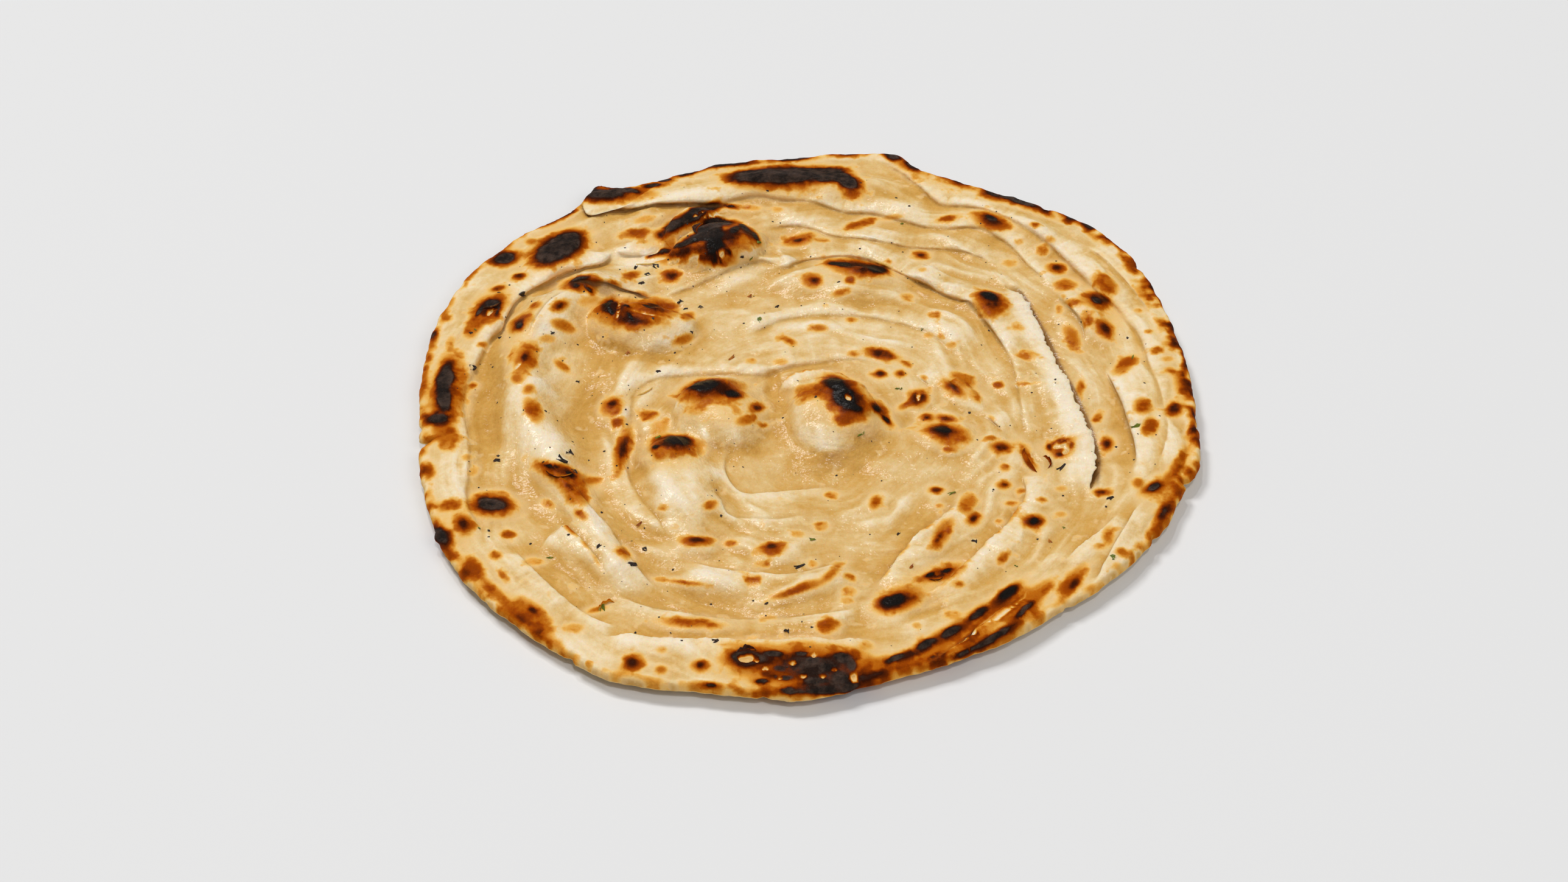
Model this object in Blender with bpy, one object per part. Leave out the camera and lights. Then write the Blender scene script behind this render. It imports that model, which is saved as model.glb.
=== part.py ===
"""Paratha: a round flatbread of rolled and folded dough, blistered and browned, lying flat.

The bread is one solid. Its upper side is a height map over the outline: a nearly level dough,
swollen by blisters, raised along ridges, and stepped where the edge of one sheet of dough laps
over the next. The underside is flat where it rests and curls up to the rim.
All lengths below are in millimetres and are turned to metres when the mesh is made.
"""

import bmesh
import bpy
import numpy as np
from mathutils import Vector, geometry

MM = 0.001

# The bread as a whole
CORE_THICKNESS = 5.0    # of the dough between its blisters
RIM_THICKNESS = 3.4     # near the edge
RIM_LIFT = 2.8          # how far the underside curls up at the edge
FLAT_SHARE = 0.78       # share of the radius that rests flat
EDGE_ROUNDING = 1.3     # from the edge in to where the upper and lower skins start

# How finely the solid is divided
RIM_STEPS = 150
TOP_SPACING = 4.1
BASE_SPACING = 16.0
FOLD_SPACING = 4.2
LEAST_GAP = 2.0         # between two points of one skin
TALL = 5.5              # blisters at least this high get rows of points of their own

# Outline: clock angle from the back edge in degrees, and radius
OUTLINE = (
    (0, 118), (8, 120.5), (14, 122), (17, 118.5), (25, 116.5), (34, 117.5), (42, 121),
    (50, 124), (58, 123.5), (66, 121), (75, 119), (85, 118), (95, 118), (105, 119.8),
    (108, 118), (118, 117), (128, 114.5), (140, 112.6), (152, 112.6), (165, 113.6),
    (173, 116), (180, 119.5), (190, 120), (200, 122.8), (208, 126), (213, 124.8),
    (222, 124.2), (234, 124.3), (243, 122.3), (253, 120), (265, 118.2), (280, 120),
    (292, 122), (300, 122.4), (310, 120.5), (320, 118.6), (323.5, 121), (326, 122.8),
    (329, 118.5), (336, 116.5), (347, 117), (354, 116.5),
)

# Blisters and hollows: centre x and y, half width, half depth, turn in degrees, height, and how
# soft the foot is, from 0 for a steep one to 1 for a gentle one
SWELLINGS = (
    (-26, -9, 14.5, 14, 4, 6.4, 0.75),      # left blister of the middle
    (-29, -1, 9, 5, 12, 1.6, 0.4),
    (8, -9, 16, 15, -22, 6.0, 0.75),        # right blister of the middle
    (10, 1, 9, 6, -30, 1.8, 0.4),
    (-41, -25, 10, 7, -6, 2.6, 0.4),
    (-38, -37, 10.5, 19, 12, 5.6, 0.4),     # long blister in front of them
    (-27.5, 70, 16.5, 10.5, 14, 8.8, 0.12), # tall scorched blister at the back left
    (-23, 61, 14, 9, 8, 1.5, 0.8),
    (-37, 81.5, 14, 5.5, 38, 5.2, 0.9),     # scorched ridge behind it
    (-51, 32, 17.5, 11, -6, 6.6, 0.1),      # glossy brown blister
    (-58, 35, 9, 6, 0, 1.2, 0.5),
    (12, 55, 22, 9, -8, 2.6, 0.9),
    (20, 56, 8, 6, -20, 1.6, 0.3),
    (5, 103, 28, 7, -5, 2.2, 1.0),
    (-8, 104, 12, 5, 0, 1.1, 0.6),
    (-111, 0, 5, 22, 0, 1.6, 1.0),
    (-68, -62, 6, 10, 30, 1.9, 0.4),
    (57, 42, 8, 8, 0, 2.0, 0.6),
    (86, 42, 9, 14, -20, 1.8, 0.9),
    (72, 77, 11, 7, -40, 1.8, 0.9),
    (-1, -79, 13, 4.5, 24, 2.2, 0.4),
    (-32, -62, 8, 5, 0, 1.9, 0.4),
    (-2, -108, 19, 8, 0, 2.0, 0.8),
    (42, -17, 10, 7, -10, 2.1, 0.4),
    (47, 3, 8, 4.5, -45, 1.5, 0.3),
    (25, -86, 10, 6, 28, 1.9, 0.4),
    (-78, 66, 12, 9, 45, 1.4, 1.0),
    (-10, -66, 9, 5, 5, 1.5, 0.4),
    (-92, -47, 8, 6, 0, 1.4, 0.5),
    (-72, -36, 8, 5, -35, 1.4, 0.4),
    (60, 82, 7, 5, -28, 1.2, 0.5),
    (46, 34, 14, 9, -40, 1.0, 1.0),
    (5, -34, 20, 9, 0, -1.8, 1.0),          # oily hollow in front of the middle
    (-97, -5, 5, 26, 4, -1.6, 1.0),         # furrow inside the left edge
    (-67, -4, 8, 20, 0, -1.5, 1.0),
    (-12, 45, 24, 8, -8, -0.9, 1.0),
    (36, -45, 18, 12, 40, -1.0, 1.0),
    (-28, -86, 30, 7, -4, -0.8, 1.0),
    (-9, 5, 3, 12, 10, -1.6, 1.0),          # valley between the two blisters of the middle
    (-5, 74, 5, 14, 20, -1.8, 1.0),
    (70, 5, 6, 26, 5, -1.0, 1.0),
    (-50, -20, 4, 18, 8, -1.0, 1.0),
    (-79, 52.5, 9, 3.5, 38, -1.6, 0.8),
)

# Ridges of gathered dough: half width, height, then the crest's points
RIDGES = (
    (8.5, 5.8, ((-68, 50), (-78, 41), (-85, 26), (-87, 11), (-85, -5), (-81, -16), (-76, -24))),
    (6, 3.4, ((-74, -34), (-69, -42), (-65, -52), (-60, -62), (-55, -70))),
    (6, 1.4, ((-47, 90), (-25, 99), (0, 98), (22, 95), (33, 89))),
)

# Folds: how far the outer sheet stands over the inner one, or the inner over the outer where it is
# below 0, then the points of its edge
FOLDS = (
    (1.7, ((-74, 100), (-71.5, 89), (-64, 88.5), (-45, 93.5), (-30, 95.5), (-22, 95.5))),
    (1.3, ((-26, 95.5), (-15, 96.5), (5, 91), (22, 88), (42, 80.5), (56, 79.5), (66, 71), (78, 50))),
    (1.7, ((25, 115), (30, 110.5), (40, 97), (52, 91), (66, 85), (78, 72), (88, 56), (97, 42), (100, 35))),
    (1.2, ((97, 42), (103, 28), (107, 5), (108, -12), (103, -30))),
    (1.3, ((88, 72), (99, 58), (106, 42), (109, 37))),
    (-1.3, ((66, 49), (69, 42), (73, 30), (77, 14), (83, -8), (85.5, -25), (84, -42))),
    (1.2, ((-12, 79.5), (3, 79.5), (20, 73.5), (42, 70.5), (54, 68.5))),
    (1.6, ((-12, 62), (0, 64.5), (18, 66), (30, 58.5), (43, 48))),
    (1.8, ((30, 58.5), (43, 48), (53, 41), (60, 25), (62.5, 18))),
    (1.3, ((-76, 53), (-66, 54), (-55, 49.5), (-45, 46.5))),
    (-1.8, ((-10, 2), (-5, 10.5), (5, 13.2), (15, 8), (22, -3), (25, -11))),
    (-1.7, ((-41, -8), (-37, 4), (-26, 9.5), (-15, 5))),
    (1.6, ((63, -30), (63, -43), (55, -56), (41, -73), (32, -81))),
    (1.6, ((44, -43), (34, -55), (26, -65), (18, -78))),
    (1.7, ((91, 15), (95, 0), (97.5, -20), (97, -30))),
    (1.3, ((97, -43), (88, -62), (80, -78))),
    (2.0, ((-62, 72), (-64, 64), (-77, 58.5), (-87, 50), (-94, 32), (-99, 22))),
    (1.2, ((-93, 38), (-101, 15), (-104, 0), (-101, -18), (-99, -45), (-92, -60))),
    (1.0, ((-78, -28), (-68, -37), (-62, -47), (-54, -60), (-42, -79))),
    (1.6, ((-60, -96), (-35, -98), (0, -98.5), (20, -96))),
    (1.8, ((31, -108), (48, -93), (62, -79))),
)
SEEN_SLANT = 44         # the folds' points lie on this slant from their places at the even level
SEEN_LEVEL = 6.0        # the even level that they are given for
FOLD_STEP = 1.2         # the sheet's edge is this far to each side of the fold's line
FOLD_RUNOUT = 13.0      # how far out the raised sheet sinks back into the dough
FOLD_TAPER = 9.0        # how far from its ends a fold dies away


def smooth_step(t):
    """0 up to t = 0, 1 from t = 1, and a smooth rise between."""
    t = np.clip(t, 0, 1)
    return t * t * (3 - 2 * t)


def outline_radius(angles):
    """The outline's radius at clock angles in degrees, on a smooth closed curve."""
    at, radius = (np.array(column, float) for column in zip(*OUTLINE))
    at = np.concatenate([at[-2:] - 360, at, at[:3] + 360])
    radius = np.concatenate([radius[-2:], radius, radius[:3]])
    slope = np.gradient(radius, at)
    i = np.clip(np.searchsorted(at, angles, side="right") - 1, 0, len(at) - 2)
    span = at[i + 1] - at[i]
    t = (angles - at[i]) / span
    return (
        radius[i] * (1 + 2 * t) * (1 - t) ** 2
        + slope[i] * span * t * (1 - t) ** 2
        + radius[i + 1] * t * t * (3 - 2 * t)
        - slope[i + 1] * span * t * t * (1 - t)
    )


def ring(inset):
    """Points along the outline, the given distance inside it."""
    angles = np.arange(RIM_STEPS) * 360 / RIM_STEPS
    radius = outline_radius(angles) - inset
    turn = np.radians(angles)
    return np.stack([radius * np.sin(turn), radius * np.cos(turn)], axis=1)


def edge_share(points):
    """How far out each point is: 0 at the middle, 1 on the outline."""
    angles = np.degrees(np.arctan2(points[:, 0], points[:, 1])) % 360
    return np.hypot(points[:, 0], points[:, 1]) / outline_radius(angles)


def along_line(points, line):
    """Distance to a line of points, how far along it, its length, and 1 or -1 for outside or inside."""
    line = np.array(line, float)
    best = np.full(len(points), np.inf)
    along = np.zeros(len(points))
    side = np.ones(len(points))
    start = 0.0
    for a, b in zip(line[:-1], line[1:]):
        length = np.hypot(*(b - a))
        forward = (b - a) / length
        outward = np.array([-forward[1], forward[0]])
        if outward @ (a + b) < 0:
            outward = -outward
        t = np.clip((points - a) @ forward, 0, length)
        offset = points - a - t[:, None] * forward
        distance = np.hypot(offset[:, 0], offset[:, 1])
        nearer = distance < best
        best[nearer] = distance[nearer]
        along[nearer] = start + t[nearer]
        side[nearer] = np.where((offset @ outward)[nearer] < 0, -1, 1)
        start += length
    return best, along, start, side


def swelling(points, x, y, half_width, half_depth, turn, height, soft):
    """A rounded blister, or a hollow where the height is below 0."""
    turn = np.radians(turn)
    east, north = points[:, 0] - x, points[:, 1] - y
    across = (east * np.cos(turn) + north * np.sin(turn)) / half_width
    deep = (north * np.cos(turn) - east * np.sin(turn)) / half_depth
    out = np.hypot(across, deep)
    steep = np.clip(1 - out ** 2.4, 0, 1) ** 0.85
    return height * (steep + soft * (smooth_step(1.25 - out * 0.9) - steep))


def ridge(points, half_width, height, crest):
    distance, along, length, _ = along_line(points, crest)
    ends = smooth_step(np.minimum(along, length - along) / half_width + 0.4)
    return height * ends * np.exp(-((distance / half_width) ** 2))


def fold(points, rise, line):
    """The step up on to the upper sheet of dough, which sinks back further on."""
    distance, along, length, side = along_line(points, line)
    ends = smooth_step(np.minimum(along, length - along) / FOLD_TAPER)
    step = smooth_step((distance * side * np.sign(rise) + FOLD_STEP) / (2 * FOLD_STEP))
    return abs(rise) * ends * step * (1 - smooth_step(distance / FOLD_RUNOUT))


def underside(share):
    return RIM_LIFT * smooth_step((share - FLAT_SHARE) / (1 - FLAT_SHARE)) ** 1.5


def top_height(points, folds=()):
    """Height of the upper skin over the surface that the bread rests on."""
    share = edge_share(points)
    rim = smooth_step((share - 0.86) / 0.14)
    height = CORE_THICKNESS + (RIM_THICKNESS - CORE_THICKNESS) * rim
    relief = sum(swelling(points, *values) for values in SWELLINGS)
    relief = relief + sum(ridge(points, *values) for values in RIDGES)
    relief = relief + sum(fold(points, *values) for values in folds)
    return underside(share) + height + relief * (1 - 0.5 * rim)


def seated_folds():
    """The folds, with each point slid along the slant on to the swollen dough."""
    seated = []
    for rise, line in FOLDS:
        given = np.array(line, float)
        true = given.copy()
        for _ in range(4):
            above = top_height(true) + 0.8 * abs(rise) - SEEN_LEVEL
            true[:, 1] = given[:, 1] - above / np.tan(np.radians(SEEN_SLANT))
        seated.append((rise, true))
    return seated


def lattice(spacing, most_share):
    """Points of a triangular lattice over the bread, out to a share of its radius."""
    row_gap = spacing * np.sqrt(0.75)
    rows = int(130 / row_gap)
    points = [
        (spacing * (column + 0.5 * (row % 2)), row_gap * row)
        for row in range(-rows, rows + 1)
        for column in range(-int(130 / spacing), int(130 / spacing) + 1)
    ]
    points = np.array(points)
    return points[edge_share(points) < most_share]


def fold_rows(line):
    """Points along both edges of a fold's step, which keep the step crisp in the solid."""
    line = np.array(line, float)
    rows = []
    for a, b in zip(line[:-1], line[1:]):
        length = np.hypot(*(b - a))
        across = np.array([a[1] - b[1], b[0] - a[0]]) / length
        for t in np.arange(0, length, FOLD_SPACING) / length:
            middle = a + t * (b - a)
            rows += [middle + across * FOLD_STEP, middle - across * FOLD_STEP]
    return np.array(rows)


def blister_rings():
    """Points on the top and round the flanks of the tall blisters, which keep their steep feet."""
    rings = []
    for x, y, half_width, half_depth, turn, height, _ in SWELLINGS:
        if height < TALL:
            continue
        turn = np.radians(turn)
        rings.append((x, y))
        for share, count in ((0.45, 8), (0.78, 16), (1.0, 22)):
            way = np.arange(count) * 2 * np.pi / count
            across, deep = share * half_width * np.cos(way), share * half_depth * np.sin(way)
            rings += list(zip(x + across * np.cos(turn) - deep * np.sin(turn),
                              y + across * np.sin(turn) + deep * np.cos(turn)))
    return np.array(rings)


def spaced(kept, added):
    """The points kept so far, with those of the added ones that lie clear of every other."""
    for point in added:
        if np.hypot(*(kept - point).T).min() > LEAST_GAP:
            kept = np.vstack([kept, point])
    return kept


def skin(rim, inner):
    """Points and triangles of a skin: its rim, the inner points, and a Delaunay net over them."""
    points = spaced(rim, inner)
    edge = [list(range(len(rim)))]
    net = geometry.delaunay_2d_cdt([Vector(p) for p in points.tolist()], [], edge, 1, 1e-6)
    return np.array([tuple(p) for p in net[0]]), net[2]


def add_skin(bm, points, heights, triangles, upward):
    verts = [bm.verts.new((x * MM, y * MM, z * MM)) for (x, y), z in zip(points, heights)]
    for triangle in triangles:
        corners = [verts[i] for i in triangle]
        bm.faces.new(corners if upward else corners[::-1])
    return verts


def build_bread(material):
    """The whole bread as one closed mesh: upper skin, rounded edge and underside."""
    inner_ring = ring(EDGE_ROUNDING)
    folds = seated_folds()
    fold_points = np.vstack([fold_rows(line) for _, line in folds])
    fold_points = fold_points[edge_share(fold_points) < 0.965]
    top_points, top_triangles = skin(
        inner_ring, np.vstack([blister_rings(), fold_points, lattice(TOP_SPACING, 0.97)])
    )
    base_points, base_triangles = skin(inner_ring, lattice(BASE_SPACING, 0.93))

    bm = bmesh.new()
    top = add_skin(bm, top_points, top_height(top_points, folds), top_triangles, True)
    base_heights = underside(edge_share(base_points))
    base = add_skin(bm, base_points, base_heights, base_triangles, False)
    edge = []
    for i, (x, y) in enumerate(ring(0)):
        middle = (top[i].co.z + base[i].co.z) / 2
        edge.append(bm.verts.new((x * MM, y * MM, middle)))
    for i in range(RIM_STEPS):
        j = (i + 1) % RIM_STEPS
        bm.faces.new((top[j], top[i], edge[i], edge[j]))
        bm.faces.new((edge[j], edge[i], base[i], base[j]))

    xs, ys = ([v.co[axis] for v in bm.verts] for axis in (0, 1))
    centre = Vector(((min(xs) + max(xs)) / 2, (min(ys) + max(ys)) / 2, 0))
    bmesh.ops.translate(bm, verts=bm.verts, vec=-centre)
    bmesh.ops.recalc_face_normals(bm, faces=bm.faces)

    mesh = bpy.data.meshes.new("paratha")
    bm.to_mesh(mesh)
    bm.free()
    mesh.shade_smooth()
    mesh.materials.append(material)
    bread = bpy.data.objects.new("paratha", mesh)
    bpy.context.scene.collection.objects.link(bread)
    return bread


def baked_dough():
    """Oiled wheat dough, browned on a hot plate: cream to golden, with a soft gloss."""
    material = bpy.data.materials.new("baked_dough")
    material.use_nodes = True
    shader = material.node_tree.nodes["Principled BSDF"]
    shader.inputs["Base Color"].default_value = (0.73, 0.50, 0.24, 1)
    shader.inputs["Roughness"].default_value = 0.45
    shader.inputs["Metallic"].default_value = 0.0
    return material


def main():
    for thing in list(bpy.data.objects):
        bpy.data.objects.remove(thing)
    build_bread(baked_dough())


main()
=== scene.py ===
"""Finished paratha: a folded, blistered and scorched flatbread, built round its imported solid.

The dough is a net of points over the bread's outline, dense along the folds, lifted by blisters,
ridges and wrinkles, and pulled over itself where one sheet of dough laps the next. Browning is
stored on the points and drawn by the dough's material. Lengths in the tables are millimetres.
"""

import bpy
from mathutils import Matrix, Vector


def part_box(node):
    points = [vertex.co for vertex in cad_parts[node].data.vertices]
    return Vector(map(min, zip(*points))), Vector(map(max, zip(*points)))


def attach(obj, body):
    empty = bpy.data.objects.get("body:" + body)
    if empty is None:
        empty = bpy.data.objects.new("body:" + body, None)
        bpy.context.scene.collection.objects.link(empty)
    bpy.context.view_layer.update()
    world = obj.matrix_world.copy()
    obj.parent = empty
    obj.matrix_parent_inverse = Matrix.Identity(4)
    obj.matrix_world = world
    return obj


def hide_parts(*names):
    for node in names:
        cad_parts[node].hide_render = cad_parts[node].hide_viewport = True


bl_info = {
    "name": "Paratha flatbread",
    "version": (1, 0, 0),
    "blender": (4, 5, 0),
    "location": "View3D > Sidebar > Paratha",
    "description": "Builds the finished paratha, its loose crumbs and herbs, and a plain stage",
    "category": "Add Mesh",
}

import math
from collections import namedtuple

import bpy
import numpy as np
from mathutils import Matrix, Vector, bvhtree, geometry

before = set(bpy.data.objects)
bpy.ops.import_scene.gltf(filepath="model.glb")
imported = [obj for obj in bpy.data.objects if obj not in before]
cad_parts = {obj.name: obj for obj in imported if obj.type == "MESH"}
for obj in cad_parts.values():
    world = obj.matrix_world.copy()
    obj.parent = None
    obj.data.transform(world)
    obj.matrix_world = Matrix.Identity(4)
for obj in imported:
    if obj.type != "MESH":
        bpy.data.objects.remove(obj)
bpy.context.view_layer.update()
CAD_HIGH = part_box("paratha")[1]

MM = 0.001
NODE = "paratha"
BODY = "root"

# ------------------------------------------------------------------ the bread's measures, in mm
CORE_THICKNESS = 5.0
RIM_THICKNESS = 3.4
RIM_LIFT = 2.8
FLAT_SHARE = 0.78
EDGE_ROUNDING = 1.7
EDGE_RADIUS = 118
FIELD_REACH = 126
RIM_SHARE = 0.86
TOP_HEIGHT = CAD_HIGH.z / MM + 0.3
MIDDLE = (4, -14)

# The tables of folds, browning and loose bits say where a place is seen from this far above the
# level. One at SEEN_LEVEL lies where it is seen; a higher one is seen further up, by LEAN times
# its height above that.
VIEW_SLOPE = math.radians(44)
SEEN_LEVEL = 6.0
LEAN = 1 / math.tan(VIEW_SLOPE)

Swell = namedtuple("Swell", "x y half_width half_depth turn height soft")
Crest = namedtuple("Crest", "half_width height line")
Fold = namedtuple("Fold", "rise reach line crust gap side", defaults=(0, 0, 1))
Spot = namedtuple("Spot", "x y length width turn", defaults=(0,))

# Blisters and hollows of the dough; soft is 0 for a steep foot and 1 for a gentle one
SWELLS = [Swell(*row) for row in (
    (-26, -8.5, 15, 14.5, 4, 7, 0.6), (-29, -1, 9, 5, 12, 1.6, 0.4), (8, -8.5, 16.5, 15.5, -22, 6.8, 0.6),
    (10, 1, 9, 6, -30, 1.8, 0.4), (-41, -25, 10, 7, -6, 2.6, 0.4), (-38, -38, 12, 21, 12, 5.2, 0.7),
    (-27.5, 70, 16.5, 10.5, 14, 8.8, 0.12), (-23, 61, 14, 9, 8, 1.5, 0.8),
    (-37, 81.5, 12.5, 3.8, 38, 5.8, 0.1), (-51, 32, 17.5, 11.5, -6, 6.8, 0.2),
    (-58, 35, 9, 6, 0, 1.2, 0.5), (12, 55, 22, 9, -8, 2.6, 0.9), (20, 56, 8, 6, -20, 1.6, 0.3),
    (5, 103, 28, 7, -5, 2.2, 1), (-8, 104, 12, 5, 0, 1.1, 0.6), (-111, 0, 5, 22, 0, 1.6, 1),
    (-68, -62, 6, 10, 30, 1.9, 0.4), (57, 42, 8, 8, 0, 2, 0.6), (86, 42, 9, 14, -20, 1.8, 0.9),
    (72, 77, 11, 7, -40, 1.8, 0.9), (-1, -79, 13, 4.5, 24, 2.2, 0.4), (-32, -62, 8, 5, 0, 1.9, 0.4),
    (-2, -108, 19, 8, 0, 2, 0.8), (42, -17, 10, 7, -10, 2.1, 0.4), (47, 3, 8, 4.5, -45, 1.5, 0.3),
    (25, -86, 10, 6, 28, 1.9, 0.4), (-78, 66, 12, 9, 45, 1.4, 1), (-10, -66, 9, 5, 5, 1.5, 0.4),
    (-92, -47, 8, 6, 0, 1.4, 0.5), (-105, -57, 6, 8, -30, 1, 0.6), (46, 34, 14, 9, -40, 1, 1),
    (34, -0.5, 5, 4, 0, 1.1, 0.3), (-2, 73, 8, 4, 18, 1.2, 0.4), (-80, 2, 5, 5, 0, 0.9, 0.5),
    (-76, 30, 6, 6, -30, 1, 0.5), (-88, 31, 5, 6, 60, 1.1, 0.4), (-59, -5, 5, 7, 20, 1.2, 0.4),
    (-48, -10, 5, 4, 0, 0.9, 0.5), (-16, -60, 5, 4, 0, 0.8, 0.5), (6, -95, 5, 4, 0, 1.1, 0.4),
    (-72, -36, 8, 5, -35, 1.4, 0.4), (-30, -94, 10, 3, 0, 0.9, 0.5), (100, -5, 5, 7, 0, 1, 0.6),
    (110, -7, 5, 5, 0, 1.1, 0.4), (92, 30, 5, 7, 0, 0.9, 0.6), (96, 50, 5, 6, -30, 0.9, 0.6),
    (60, 82, 7, 5, -28, 1.2, 0.5), (46, -46, 4, 6, -20, 0.8, 0.5), (-8, -49, 13, 4, -5, 0.8, 0.8),
    (-30, -76, 12, 3, -8, 0.9, 0.7), (5, -34, 20, 9, 0, -1.8, 1), (-97, -5, 5, 26, 4, -1.6, 1),
    (-67, -4, 8, 20, 0, -1.5, 1), (-12, 45, 24, 8, -8, -0.9, 1), (36, -45, 18, 12, 40, -1, 1),
    (-28, -86, 30, 7, -4, -0.8, 1), (-9, 5, 3, 12, 10, -1.6, 1), (-5, 74, 5, 14, 20, -1.8, 1),
    (70, 5, 6, 26, 5, -1, 1), (-50, -20, 4, 18, 8, -1, 1), (-20, 20, 22, 4, 0, -0.5, 1),
    (-79, 52.5, 9, 3.5, 38, -1.6, 0.8), (-63, 46, 7, 2, -12, -2, 0.5), (-43, 43.5, 5, 2, 0, -1.4, 0.8),
    (-45, 71, 4, 3, 35, -1.5, 0.8), (-69, 96.5, 6, 4, -10, 2.4, 0.3), (-60, 97, 6, 3, -10, 1.2, 0.4),
    (29, 115.5, 5, 3.4, -30, 2, 0.4), (-25, 112.5, 12, 2.6, 5, 1.2, 0.4), (14, 117, 8, 2.6, 0, 1, 0.4),
    (70, 92.5, 8, 2.4, -28, 1, 0.4),
)]

CRESTS = [Crest(*row) for row in (
    (8.5, 5.8, ((-68, 50), (-78, 41), (-85, 26), (-87, 11), (-85, -5), (-81, -16), (-76, -24))),
    (6, 3.4, ((-74, -34), (-69, -42), (-65, -52), (-60, -62), (-55, -70))),
    (6, 1.4, ((-47, 90), (-25, 99), (0, 98), (22, 95), (33, 89))),
)]

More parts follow.
